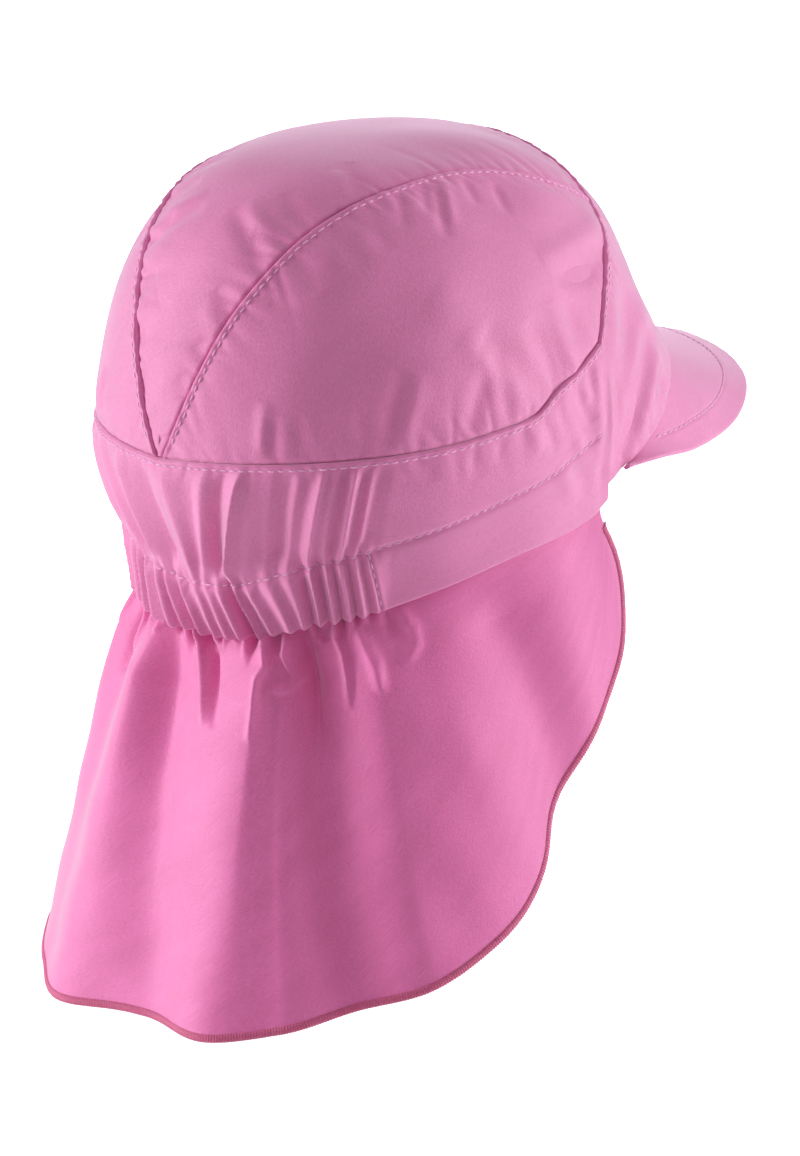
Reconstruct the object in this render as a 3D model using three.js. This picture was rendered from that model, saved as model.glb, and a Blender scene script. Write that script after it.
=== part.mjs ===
// A child's legionnaire cap: a soft panelled crown, a short brim, a band gathered by elastic at the
// back, and a cloth flap that shades the neck and ears. It is modelled as it looks on a head.
// Millimetres, +Z up. The brim points to -Y and the wearer's right is -X. The origin is the middle
// of the head, level with the seam between the crown and the band at the centre back.
import * as THREE from 'three';
import { mergeVertices } from 'three/addons/utils/BufferGeometryUtils.js';

// Crown
const HEAD_HALF_WIDTH = 75;
const HEAD_TO_BACK = 87;
const HEAD_TO_FRONT = 93.5;
const CROWN_HEIGHT = 87.5;
const PLAN_SQUARENESS = 2.1; // 2 is an ellipse seen from above
const FULLNESS_BACK = 3.4; // 2 is a round profile, more stands up fuller
const FULLNESS_SIDE = 2.7;
const FULLNESS_FRONT = 3.1;
const FRONT_FLARE = 9; // how far the front panel spreads towards the brim
const FLARE_HEIGHT = 39; // the spread starts this far above the base
const FLARE_START_TURN = 100; // degrees from the centre back to where it starts
const FLARE_FULL_TURN = 145;
const TOP_BEND_START = 0.45; // share of the top panel's length after which its rows bow to the front
const TIP_HALF_WIDTH = 1.2; // half the width of the top panel where it ends at the back

// Band and casing
const BAND_HEIGHT = 53; // at the centre back
const TEMPLE_TURN = 110.5; // degrees from the centre back to the seam at the temple
const WAIST_BACK = 12.5; // how far the elastic draws the band's lower edge in at the back
const WAIST_TEMPLE = 2;
const WAIST_LEVEL = 46; // the skin is drawn in fully this far below the crown's base
const WAIST_BACK_TURN = 35; // degrees from the centre back over which it is drawn in the most
const WAIST_TEMPLE_TURN = 115;
const CASING_HEIGHT = 20;
const GATHERED_TURN = 47; // degrees from the centre back to the end of the elastic
const GATHER_FADE = 3; // degrees past that end over which the gathers run out
const GATHER_DEPTH = 2.6;
const GATHER_SUNK = 0.5; // share of that depth that lies inside the skin
const BAND_FOLD_DEPTH = 2.2;
const BAND_FOLD_START = 0.6; // share of the band above the casing over which its folds deepen
const BAND_FOLD_END = 0.25; // share of it over which they turn into the gathers

// Flap
const FLAP_LEVEL = 166; // from the crown's base down to the hem at the back
const FLAP_HALF_TURN = 113; // degrees from the centre back to the front edges
const FLAP_SPREAD_BACK = 0.26; // outward for each millimetre down
const FLAP_SPREAD_FRONT = 0.13;
const FLAP_BACK_TURN = 40; // degrees from the centre back over which it spreads as at the back
const FLAP_FRONT_TURN = 100; // and past which it spreads as at the front
const FLAP_TUCK = 4; // how far the flap reaches up behind the casing
const FLAP_FOLD_DEPTH = 6;
const FLAP_FOLD_START = 0.25; // share of the flap's drop over which its folds deepen
const PINCH_LENGTH = 24; // how far the casing's gathers run on into the flap
const FLAP_RETURN = 40; // how far below the casing the flap is back in line with the band's skin
const LEFT_SAG = 4; // how much lower the hem hangs on the wearer's left
const LEFT_SAG_TURN = 60; // degrees from the centre back to where that ends
const EDGING_WIDTH = 2.2;
const EDGING_THICKNESS = 1.6;

// Brim
const BRIM_LENGTH = 46.5; // from the front panel to the edge, at the middle
const BRIM_SIDE_REACH = 2.5; // how far the brim's ends stand out past the front panel
const BRIM_EDGE_DROP = 10.8; // from the crown's base down to the edge's lowest place
const BRIM_ARCH = 15; // from there up to the middle of the edge
const BRIM_THICKNESS = 3;
const BRIM_END_THICKNESS = 1.2;
const BRIM_SQUARENESS = 2.1; // 2 is an ellipse seen from above
const BRIM_END_TURN = 116; // degrees from the centre back to the brim's ends

// Cloth and seams
const CLOTH = 1.2;
const SEAM_GAP = 0.3;
const TIP_CUT = 0.14; // share of a side panel's end columns that is left off its sharp tips

// The crown's seams are drawn on a round chart whose middle is the crown's top and whose rim is its base
// Where the top, side and front panels meet
const PANEL_CORNER = { across: 0.345, along: -0.437 };

// Seam that parts the top panel from a side panel, from the centre back to that corner
const TOP_SEAM = [
  { along: 0.92, across: 0.075 },
  { along: 0.83, across: 0.13 },
  { along: 0.74, across: 0.172 },
  { along: 0.62, across: 0.222 },
  { along: 0.5, across: 0.257 },
  { along: 0.38, across: 0.287 },
  { along: 0.22, across: 0.322 },
  { along: 0.08, across: 0.34 },
  { along: -0.05, across: 0.353 },
  { along: -0.18, across: 0.364 },
  { along: -0.31, across: 0.364 },
];

// Seam along the front panel from the temple to that corner
const FRONT_SEAM = [
  { across: 0.712, along: -0.317 },
  { across: 0.663, along: -0.34 },
  { across: 0.603, along: -0.373 },
  { across: 0.541, along: -0.404 },
  { across: 0.47, along: -0.43 },
  { across: 0.4, along: -0.441 },
];

// Seam between the front panel and the top panel, from that corner to the middle
const TOP_EDGE = [
  { across: 0.26, along: -0.415 },
  { across: 0.17, along: -0.375 },
  { across: 0.08, along: -0.335 },
  { across: 0, along: -0.32 },
];

// Seam along the top of the band, with the turn as a share of the turn to the temple and the rise as a
// share of the crown's height
const BAND_SEAM = [
  { turn: 0, rise: 0.01 },
  { turn: 0.16, rise: 0.03 },
  { turn: 0.36, rise: 0.055 },
  { turn: 0.54, rise: 0.081 },
  { turn: 0.68, rise: 0.115 },
  { turn: 0.775, rise: 0.144 },
  { turn: 0.85, rise: 0.215 },
  { turn: 0.92, rise: 0.26 },
  { turn: 1, rise: 0.325 },
];

// Lower edge of the band, with the drop as a share of the band's height
const BAND_EDGE = [
  { turn: 0, drop: 1 },
  { turn: 0.13, drop: 1 },
  { turn: 0.27, drop: 0.91 },
  { turn: 0.44, drop: 0.81 },
  { turn: 0.6, drop: 0.68 },
  { turn: 0.75, drop: 0.565 },
  { turn: 0.9, drop: 0.485 },
  { turn: 0.96, drop: 0.435 },
  { turn: 1, drop: 0.37 },
];

// Stitch line of the casing above the band's lower edge, as a share of the casing height
const CASING_LINE = [
  { turn: 0, rise: 0.75 },
  { turn: 0.09, rise: 0.8 },
  { turn: 0.18, rise: 0.89 },
  { turn: 0.27, rise: 0.93 },
  { turn: 0.44, rise: 1.025 },
  { turn: 0.68, rise: 1.015 },
  { turn: 0.8, rise: 1.04 },
  { turn: 0.89, rise: 1.15 },
  { turn: 1, rise: 1.275 },
];

// Lower edge of the front panel, with the turn as a share of the way from the temple to the middle and
// the rise as a share of the crown's height
const BRIM_SEAM = [
  { turn: 0, rise: -0.165 },
  { turn: 0.079, rise: -0.118 },
  { turn: 0.165, rise: -0.067 },
  { turn: 0.265, rise: 0.005 },
  { turn: 0.35, rise: 0.087 },
  { turn: 0.48, rise: 0.155 },
  { turn: 0.7, rise: 0.185 },
  { turn: 1, rise: 0.195 },
];

// Free edge of the flap from the centre back to the temple, with the turn as a share of the flap's
// half turn and the drop as a share of the way from the band's front corner down to the hem
const FLAP_EDGE = [
  { turn: 0, drop: 1 },
  { turn: 0.18, drop: 0.995 },
  { turn: 0.363, drop: 0.94 },
  { turn: 0.496, drop: 0.888 },
  { turn: 0.602, drop: 0.825 },
  { turn: 0.681, drop: 0.757 },
  { turn: 0.733, drop: 0.68 },
  { turn: 0.77, drop: 0.59 },
  { turn: 0.85, drop: 0.49 },
  { turn: 0.929, drop: 0.385 },
  { turn: 0.982, drop: 0.27 },
  { turn: 1, drop: 0.12 },
  { turn: 0.979, drop: 0.035 },
];

// Gathers of the casing: the turn in degrees of each ridge at the casing's stitch line and at its lower
// edge, and its height as a share of the gather depth
const GATHERS = [
  { top: -45, bottom: -44, height: 0.7 },
  { top: -40, bottom: -38.5, height: 0.9 },
  { top: -35, bottom: -33, height: 0.8 },
  { top: -30, bottom: -28, height: 1 },
  { top: -25, bottom: -22.5, height: 0.8 },
  { top: -20, bottom: -17, height: 1 },
  { top: -15, bottom: -13, height: 0.8 },
  { top: -11, bottom: -9, height: 0.8 },
  { top: -8, bottom: -4, height: 0.9 },
  { top: -4, bottom: 1, height: 0.8 },
  { top: 2, bottom: 6, height: 0.9 },
  { top: 5, bottom: 10.5, height: 1 },
  { top: 10, bottom: 15, height: 0.8 },
  { top: 13, bottom: 19, height: 1 },
  { top: 17, bottom: 23, height: 0.9 },
  { top: 21, bottom: 26.5, height: 0.9 },
  { top: 26, bottom: 30, height: 1 },
  { top: 32.5, bottom: 34, height: 0.9 },
  { top: 38, bottom: 41, height: 1 },
  { top: 43, bottom: 45, height: 0.7 },
];
const GATHER_WIDTH = 1.7; // degrees

// Folds of the band above the casing: the turn in degrees at the crown's seam and at the casing, the
// height as a share of the band's fold depth, and the width in degrees
const BAND_FOLDS = [
  { top: -48, bottom: -43, height: 0.6, width: 2.5 },
  { top: -42, bottom: -37, height: -0.8, width: 2 },
  { top: -36, bottom: -30, height: 0.8, width: 2 },
  { top: -30, bottom: -24, height: -0.6, width: 2.5 },
  { top: -24, bottom: -17, height: 0.6, width: 2 },
  { top: -17, bottom: -9, height: 0.7, width: 1.8 },
  { top: -4, bottom: -2, height: -1, width: 3.5 },
  { top: 1, bottom: 3, height: 0.4, width: 2 },
  { top: 9, bottom: 6.5, height: 0.6, width: 2 },
  { top: 13, bottom: 9.5, height: -0.8, width: 2 },
  { top: 19, bottom: 12.5, height: 1, width: 1.8 },
  { top: 23, bottom: 16, height: -0.6, width: 2.2 },
  { top: 29, bottom: 24, height: 0.5, width: 3 },
  { top: 35, bottom: 29.5, height: -0.9, width: 2 },
  { top: 38, bottom: 32.5, height: 0.6, width: 2 },
  { top: 41, bottom: 36, height: -0.6, width: 1.8 },
  { top: 43, bottom: 40, height: 0.9, width: 2 },
  { top: 47, bottom: 43, height: -0.7, width: 2.2 },
];

// Folds of the flap: the turn in degrees below the casing and at the hem, the height as a share of the
// flap's fold depth, the width in degrees, and the share of the height that is left at the hem
const FLAP_FOLDS = [
  { top: -86, bottom: -84, height: -0.5, width: 9, left: 0.2 },
  { top: -64, bottom: -76, height: 0.6, width: 7, left: 0.3 },
  { top: -48, bottom: -58, height: -0.6, width: 7, left: 0.3 },
  { top: -36, bottom: -42, height: 0.8, width: 6, left: 0.3 },
  { top: -27, bottom: -31, height: -0.7, width: 5, left: 0.3 },
  { top: -18, bottom: -20, height: 0.6, width: 5, left: 0.3 },
  { top: -5, bottom: -7, height: -0.7, width: 8, left: 0.25 },
  { top: 16, bottom: 12, height: 0.8, width: 5, left: 0.25 },
  { top: 22, bottom: 23, height: -0.5, width: 5, left: 0.25 },
  { top: 31, bottom: 41, height: -1, width: 5, left: 0.15 },
  { top: 38, bottom: 57, height: 0.8, width: 6, left: 0.25 },
  { top: 49, bottom: 62, height: -0.6, width: 5, left: 0.25 },
  { top: 63, bottom: 78, height: 0.7, width: 7, left: 0.25 },
  { top: 82, bottom: 86, height: -0.5, width: 9, left: 0.2 },
];

// Soft upright folds of the front panel, mirrored to both sides: degrees past the temple, the height as
// a share of their depth, and the width in degrees
const FRONT_FOLDS = [
  { past: 7, height: 0.7, width: 3 },
  { past: 12, height: -1, width: 3 },
  { past: 18, height: 1, width: 3.5 },
  { past: 25, height: -0.6, width: 4 },
];
const FRONT_FOLD_DEPTH = 1.3;

// Edge of the brim from the middle to its end, with its rise as a share of the arch
const BRIM_EDGE = [
  { along: 0, rise: 1 },
  { along: 0.15, rise: 0.84 },
  { along: 0.3, rise: 0.65 },
  { along: 0.45, rise: 0.46 },
  { along: 0.6, rise: 0.17 },
  { along: 0.8, rise: 0.01 },
  { along: 0.9, rise: 0.05 },
  { along: 1, rise: 0 },
];

// Fineness of the meshes
const GATHERED_COLUMNS = 32; // from the centre back to the end of the elastic
const TEMPLE_COLUMNS = 12; // from there to the temple
const STITCH_SHARES = [0, 0.4, 0.75, 1]; // the band's rows on the way down to the stitch line
const PANEL_STRIDE = 4; // the side panels take every fourth of the gathered columns
const FRONT_SEAM_COLUMNS = 9; // from the temple to the top panel's corner
const TOP_EDGE_COLUMNS = 4; // from there to the middle
const SIDE_PANEL_ROWS = 8;
const TOP_PANEL_CELLS = 2 * TOP_EDGE_COLUMNS;
const FRONT_PANEL_ROWS = 8;
const FLAP_ROWS = 9;
const COLUMN_FAN = 1.18; // above 1 brings the flap's columns together at the back of the hem
const BRIM_ROWS = 4;

const { clamp, degToRad, lerp, radToDeg } = THREE.MathUtils;

function smooth(share) {
  const s = clamp(share, 0, 1);
  return s * s * (3 - 2 * s);
}

// 1 near the centre back, 0 far from it, and a smooth passage between the two turns in degrees
function nearBack(turn, from, to) {
  return smooth((to - Math.abs(radToDeg(turn))) / (to - from));
}

// Reads a table at a place of a rising column, with a smooth curve through the rows
function readTable(rows, from, to, place) {
  const found = rows.findIndex((row) => row[from] >= place);
  const k = clamp(found < 0 ? rows.length - 1 : found, 1, rows.length - 1);
  const [a, b] = [rows[k - 1], rows[k]];
  const slope = (i) => {
    const [p, q] = [rows[Math.max(i - 1, 0)], rows[Math.min(i + 1, rows.length - 1)]];
    return (q[to] - p[to]) / (q[from] - p[from]);
  };
  const span = b[from] - a[from];
  const t = clamp((place - a[from]) / span, 0, 1);
  const bend = t * (1 - t) * span;
  const chord = (b[to] - a[to]) / span;
  return lerp(a[to], b[to], t) + bend * ((slope(k - 1) - chord) * (1 - t) - (slope(k) - chord) * t);
}

// Evenly spaced points along a smooth curve through chart points
function spread(points, count) {
  const curve = new THREE.CatmullRomCurve3(points.map((p) => new THREE.Vector3(p.x, p.y, 0)));
  return curve.getSpacedPoints(count).map((p) => new THREE.Vector2(p.x, p.y));
}

// The cap's outer skin

function baseRadius(turn) {
  const depth = Math.cos(turn) > 0 ? HEAD_TO_BACK : HEAD_TO_FRONT;
  const a = Math.abs(Math.cos(turn) / depth) ** PLAN_SQUARENESS;
  const b = Math.abs(Math.sin(turn) / HEAD_HALF_WIDTH) ** PLAN_SQUARENESS;
  return (a + b) ** (-1 / PLAN_SQUARENESS);
}

function fullness(turn) {
  const end = Math.cos(turn) > 0 ? FULLNESS_BACK : FULLNESS_FRONT;
  return lerp(FULLNESS_SIDE, end, Math.cos(turn) ** 2);
}

// How far the elastic draws the skin in at a height below the crown's base
function waist(turn, height) {
  const depth = lerp(WAIST_TEMPLE, WAIST_BACK, nearBack(turn, WAIST_BACK_TURN, WAIST_TEMPLE_TURN));
  return depth * smooth(-height / WAIST_LEVEL);
}

function flare(turn, height) {
  const nearFront = 1 - nearBack(turn, FLARE_START_TURN, FLARE_FULL_TURN);
  return FRONT_FLARE * nearFront * smooth((FLARE_HEIGHT - height) / FLARE_HEIGHT);
}

// Millimetres of skin for one step of the chart, along which the chart goes on below the crown's base
const chartStep = () => (HEAD_TO_BACK * Math.PI) / 2;

// A place on the round chart: 0 is the crown's top, 1 its base, and more is further down the band
const chart = (turn, out) => new THREE.Vector2(out * Math.sin(turn), out * Math.cos(turn));

function chartAtHeight(turn, height) {
  if (height <= 0) return chart(turn, 1 - height / chartStep());
  const reach = (1 - (height / CROWN_HEIGHT) ** 2) ** (1 / fullness(turn));
  return chart(turn, (Math.asin(reach) * 2) / Math.PI);
}

function skin(place) {
  const turn = Math.atan2(place.x, place.y);
  const out = place.length();
  const reach = Math.sin((Math.min(out, 1) * Math.PI) / 2);
  const height =
    out > 1 ? (1 - out) * chartStep() : CROWN_HEIGHT * Math.sqrt(1 - reach ** fullness(turn));
  const radius = baseRadius(turn) * reach - waist(turn, height) + flare(turn, height);
  return new THREE.Vector3(-radius * Math.sin(turn), radius * Math.cos(turn), height);
}

function inward(place) {
  const step = 1e-3;
  const at = (dx, dy) => skin(new THREE.Vector2(place.x + dx, place.y + dy));
  const across = at(step, 0).sub(at(-step, 0));
  const along = at(0, step).sub(at(0, -step));
  return across.cross(along).normalize();
}

// Walls built from grids of points

// Moves the grid's rim in by half a seam's gap, so that neighbours stand clear of each other
function drawIn(grid) {
  const rows = grid.length - 1;
  const columns = grid[0].length - 1;
  return grid.map((row, i) =>
    row.map((point, j) => {
      const neighbours = [];
      if (i === 0) neighbours.push(grid[1][j]);
      if (i === rows) neighbours.push(grid[rows - 1][j]);
      if (j === 0) neighbours.push(row[1]);
      if (j === columns) neighbours.push(row[columns - 1]);
      const moved = point.clone();
      for (const other of neighbours) {
        const way = other.clone().sub(point);
        moved.addScaledVector(way.normalize(), SEAM_GAP / 2);
      }
      return moved;
    })
  );
}

function signedVolume(position, index) {
  const [a, b, c] = [new THREE.Vector3(), new THREE.Vector3(), new THREE.Vector3()];
  let sum = 0;
  for (let k = 0; k < index.length; k += 3) {
    a.fromBufferAttribute(position, index[k]);
    b.fromBufferAttribute(position, index[k + 1]);
    c.fromBufferAttribute(position, index[k + 2]);
    sum += a.dot(b.cross(c)) / 6;
  }
  return sum;
}

// A closed wall between two grids of points, with a rim round its four sides
function closedWall(outer, inner) {
  const rows = outer.length;
  const columns = outer[0].length;
  const points = [...outer.flat(), ...inner.flat()];
  const front = (i, j) => i * columns + j;
  const back = (i, j) => rows * columns + front(i, j);
  const index = [];
  const quad = (a, b, c, d) => index.push(a, b, c, a, c, d);
  for (let i = 0; i < rows - 1; i++) {
    for (let j = 0; j < columns - 1; j++) {
      quad(front(i, j), front(i, j + 1), front(i + 1, j + 1), front(i + 1, j));
      quad(back(i, j), back(i + 1, j), back(i + 1, j + 1), back(i, j + 1));
    }
  }
  for (let j = 0; j < columns - 1; j++) {
    const last = rows - 1;
    quad(front(0, j), back(0, j), back(0, j + 1), front(0, j + 1));
    quad(front(last, j), front(last, j + 1), back(last, j + 1), back(last, j));
  }
  for (let i = 0; i < rows - 1; i++) {
    const last = columns - 1;
    quad(front(i, 0), front(i + 1, 0), back(i + 1, 0), back(i, 0));
    quad(front(i, last), back(i, last), back(i + 1, last), front(i + 1, last));
  }
  const geometry = new THREE.BufferGeometry().setFromPoints(points);
  if (signedVolume(geometry.attributes.position, index) < 0) index.reverse();
  geometry.setIndex(index);
  const merged = mergeVertices(geometry, 1e-3);
  merged.computeVertexNormals();
  return merged;
}

// A wall of cloth on the skin: a grid of chart places, moved out by folds, with its own thickness
function skinWall(places, folds = () => 0, thickness = () => CLOTH) {
  const ways = places.map((row) => row.map(inward));
  const outer = drawIn(
    places.map((row, i) => row.map((p, j) => skin(p).addScaledVector(ways[i][j], -folds(p, i))))
  );
  const inner = outer.map((row, i) =>
    row.map((point, j) => point.clone().addScaledVector(ways[i][j], thickness(i)))
  );
  return closedWall(outer, inner);
}

// Seams as rows of chart places, from the centre back or the temple on the wearer's right

const temple = degToRad(TEMPLE_TURN);

// Turns of the band's and the flap's columns, finest where the elastic gathers them
function columnTurns() {
  const gathered = degToRad(GATHERED_TURN);
  const half = [];
  for (let k = 1; k <= GATHERED_COLUMNS; k++) half.push((gathered * k) / GATHERED_COLUMNS);
  for (let k = 1; k <= TEMPLE_COLUMNS; k++) {
    half.push(lerp(gathered, temple, k / TEMPLE_COLUMNS));
  }
  return [...half.map((turn) => -turn).reverse(), 0, ...half];
}

const bandTop = (turn) =>
  CROWN_HEIGHT * readTable(BAND_SEAM, 'turn', 'rise', Math.abs(turn) / temple);
const bandBottom = (turn) =>
  -BAND_HEIGHT * readTable(BAND_EDGE, 'turn', 'drop', Math.abs(turn) / temple);

function bandSeam() {
  const turns = columnTurns().filter((turn, k) => {
    const step = k - GATHERED_COLUMNS - TEMPLE_COLUMNS;
    return step >= 0 && (step >= GATHERED_COLUMNS || step % PANEL_STRIDE === 0);
  });
  return turns.map((turn) => chartAtHeight(turn, bandTop(turn)));
}

const onChart = (row) => new THREE.Vector2(row.across, row.along);

function frontSeam() {
  const start = chartAtHeight(temple, bandTop(temple));
  const corner = onChart(PANEL_CORNER);
  const toCorner = spread([start, ...FRONT_SEAM.map(onChart), corner], FRONT_SEAM_COLUMNS);
  const toMiddle = spread([corner, ...TOP_EDGE.map(onChart)], TOP_EDGE_COLUMNS);
  return { toCorner, toMiddle };
}

function topSeam(count) {
  const tip = chartAtHeight(TIP_HALF_WIDTH / HEAD_TO_BACK, bandTop(0));
  return spread([tip, ...TOP_SEAM.map(onChart), onChart(PANEL_CORNER)], count);
}

const mirrored = (place) => new THREE.Vector2(-place.x, place.y);

// Crown

// Cuts the sharp ends off a seam, where two seams run together
function blunted(seam) {
  const first = seam[0].clone().lerp(seam[1], TIP_CUT);
  const last = seam.at(-1).clone().lerp(seam.at(-2), TIP_CUT);
  return [first, ...seam.slice(1, -1), last];
}

function sidePanel(side) {
  const seam = [...bandSeam(), ...frontSeam().toCorner.slice(1)];
  const upper = blunted(topSeam(seam.length - 1));
  const lower = blunted([topSeam(1)[0], ...seam.slice(1)]);
  const columns = lower.map((low, k) =>
    Array.from({ length: SIDE_PANEL_ROWS + 1 }, (_, i) =>
      upper[k].clone().lerp(low, i / SIDE_PANEL_ROWS)
    )
  );
  return skinWall(side > 0 ? columns : columns.map((column) => column.map(mirrored)));
}

function topPanel() {
  const edge = topSeam(bandSeam().length + FRONT_SEAM_COLUMNS - 1);
  const front = frontSeam().toMiddle;
  const frontEdge = [...front, ...front.slice(0, -1).reverse().map(mirrored)];
  const rows = edge.map((right, k) => {
    const nearFront = smooth((k / (edge.length - 1) - TOP_BEND_START) / (1 - TOP_BEND_START));
    return frontEdge.map((place, j) => {
      const share = 1 - (2 * j) / TOP_PANEL_CELLS;
      const onFront = place.x / front[0].x;
      const bulge = (place.y - front[0].y) * nearFront;
      return new THREE.Vector2(right.x * lerp(share, onFront, nearFront), right.y + bulge);
    });
  });
  return skinWall(rows);
}

function frontFolds(place, row) {
  const turn = radToDeg(Math.abs(Math.atan2(place.x, place.y)));
  const held = Math.sin((Math.PI * row) / FRONT_PANEL_ROWS);
  let sum = 0;
  for (const fold of FRONT_FOLDS) {
    const off = (turn - TEMPLE_TURN - fold.past) / fold.width;
    sum += fold.height * Math.exp(-off * off);
  }
  return FRONT_FOLD_DEPTH * held * sum;
}

// Height of the front panel's lower edge
function brimSeamHeight(turn) {
  return CROWN_HEIGHT * readTable(BRIM_SEAM, 'turn', 'rise', (turn - temple) / (Math.PI - temple));
}

// Turns along the brim's seam from one end of the brim to the middle
function brimTurns() {
  const cells = FRONT_SEAM_COLUMNS + TOP_EDGE_COLUMNS - 1;
  const end = degToRad(BRIM_END_TURN);
  return Array.from({ length: cells + 1 }, (_, k) => lerp(end, Math.PI, k / cells));
}

function frontPanel() {
  const { toCorner, toMiddle } = frontSeam();
  const turns = [temple, ...brimTurns()];
  const columns = [...toCorner, ...toMiddle.slice(1)].map((top, k) => {
    const turn = turns[k];
    const low = chartAtHeight(turn, brimSeamHeight(turn)).length();
    const topTurn = Math.atan2(top.x, top.y);
    return Array.from({ length: FRONT_PANEL_ROWS + 1 }, (_, i) => {
      const up = i / FRONT_PANEL_ROWS;
      return chart(lerp(turn, topTurn, up), lerp(low, top.length(), up));
    });
  });
  const other = columns.slice(0, -1).reverse().map((column) => column.map(mirrored));
  const all = [...columns, ...other];
  const rows = all[0].map((_, i) => all.map((column) => column[i]));
  return skinWall(rows, frontFolds);
}

// Band

// Height of the stitch line that ends the casing
function casingTop(turn) {
  const rise = readTable(CASING_LINE, 'turn', 'rise', Math.abs(turn) / temple);
  return bandBottom(turn) + CASING_HEIGHT * rise;
}

// Sum of narrow ridges whose place moves from top to bottom as the share goes from 0 to 1
function ridges(rows, turn, share, width) {
  let sum = 0;
  for (const row of rows) {
    const off = (radToDeg(turn) - lerp(row.top, row.bottom, share)) / (width ?? row.width);
    sum += row.height * Math.exp(-off * off);
  }
  return sum;
}

function gatherWave(turn, height) {
  const share = (casingTop(turn) - height) / (casingTop(turn) - bandBottom(turn));
  const inElastic = nearBack(turn, GATHERED_TURN, GATHERED_TURN + GATHER_FADE);
  return GATHER_DEPTH * inElastic * (ridges(GATHERS, turn, share, GATHER_WIDTH) - GATHER_SUNK);
}

// How far the band's folds and gathers stand out of the skin
function bandFolds(turn, height) {
  const share = (bandTop(turn) - height) / (bandTop(turn) - casingTop(turn));
  if (share > 1) return gatherWave(turn, height);
  const folds = BAND_FOLD_DEPTH * ridges(BAND_FOLDS, turn, share) * smooth(share / BAND_FOLD_START);
  const nearCasing = smooth(1 + (share - 1) / BAND_FOLD_END);
  return lerp(folds, gatherWave(turn, casingTop(turn)), nearCasing);
}

// The shares of the band's height at which its rows lie: above the casing, then down to its edge
function bandHeights(turn) {
  const top = bandTop(turn);
  const stitch = casingTop(turn);
  const bottom = bandBottom(turn);
  const above = STITCH_SHARES.map((share) => lerp(top, stitch, share));
  return [...above, lerp(stitch, bottom + FLAP_TUCK, 0.5), bottom + FLAP_TUCK, bottom];
}

// The casing is a turned-up hem, so it is two cloths thick
const bandThickness = (row) => (row < STITCH_SHARES.length ? CLOTH : 2 * CLOTH);

function band() {
  const turns = columnTurns();
  const heights = turns.map(bandHeights);
  const rows = heights[0].map((_, i) => turns.map((turn, j) => chartAtHeight(turn, heights[j][i])));
  const folds = (place) => {
    const turn = Math.atan2(place.x, place.y);
    return bandFolds(turn, skin(place).z);
  };
  return skinWall(rows, folds, bandThickness);
}

// Flap

// The flap's smooth form: it hangs from behind the casing and spreads outward
function flapForm(turn, height) {
  const edge = bandBottom(turn);
  const rim = skin(chartAtHeight(turn, edge));
  const atBack = nearBack(turn, FLAP_BACK_TURN, FLAP_FRONT_TURN);
  return Math.hypot(rim.x, rim.y) + lerp(FLAP_SPREAD_FRONT, FLAP_SPREAD_BACK, atBack) * (edge - height);
}

function flapFolds(turn, height) {
  const down = clamp((bandBottom(turn) - height) / (FLAP_LEVEL - BAND_HEIGHT), 0, 1);
  let sum = 0;
  for (const row of FLAP_FOLDS) {
    const off = (radToDeg(turn) - lerp(row.top, row.bottom, down)) / row.width;
    sum += row.height * lerp(1, row.left, down) * Math.exp(-off * off);
  }
  const pinch = 1 - smooth((bandBottom(turn) - height) / PINCH_LENGTH);
  const folds = FLAP_FOLD_DEPTH * smooth(down / FLAP_FOLD_START) * sum;
  return folds + pinch * gatherWave(turn, bandBottom(turn));
}

// How far behind the band's skin the flap lies where it comes out from the casing
const flapSetBack = () => 2 * CLOTH + SEAM_GAP;

function flapPoint(turn, height) {
  const behind = 1 - smooth((bandBottom(turn) - height) / FLAP_RETURN);
  const radius = flapForm(turn, height) + flapFolds(turn, height) - behind * flapSetBack();
  return new THREE.Vector3(-radius * Math.sin(turn), radius * Math.cos(turn), height);
}

// The free edge from the centre back to the temple, as turns and heights
function flapEdge(count) {
  const corner = bandBottom(temple);
  const rows = FLAP_EDGE.map(
    (row) =>
      new THREE.Vector2(
        row.turn * degToRad(FLAP_HALF_TURN) * HEAD_TO_BACK,
        lerp(corner, -FLAP_LEVEL, row.drop)
      )
  );
  return spread(rows, count).map((p) => ({ turn: p.x / HEAD_TO_BACK, height: p.y }));
}

// For each column, the turn and height of its upper end and of its end on the free edge
function flapColumns() {
  const fine = 200;
  const edge = flapEdge(fine);
  return columnTurns().map((turn) => {
    const share = (Math.abs(turn) / temple) ** COLUMN_FAN;
    const end = edge[Math.round(share * fine)];
    const onLeft = clamp(-turn / degToRad(LEFT_SAG_TURN), 0, 1);
    const height = end.height - LEFT_SAG * Math.sin(Math.PI * onLeft) ** 2;
    return { turn, top: bandBottom(turn), edgeTurn: Math.sign(turn) * end.turn, edge: height };
  });
}

function flapColumnPoint(column, down) {
  const turn = lerp(column.turn, column.edgeTurn, down);
  return flapPoint(turn, lerp(column.top, column.edge, down));
}

// The share of a column at a distance before its end on the free edge
function shareBeforeEdge(column, distance) {
  const length = flapColumnPoint(column, 0).distanceTo(flapColumnPoint(column, 1));
  return 1 - distance / length;
}

function flapInward(point) {
  return new THREE.Vector3(-point.x, -point.y, 0).normalize();
}

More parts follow.
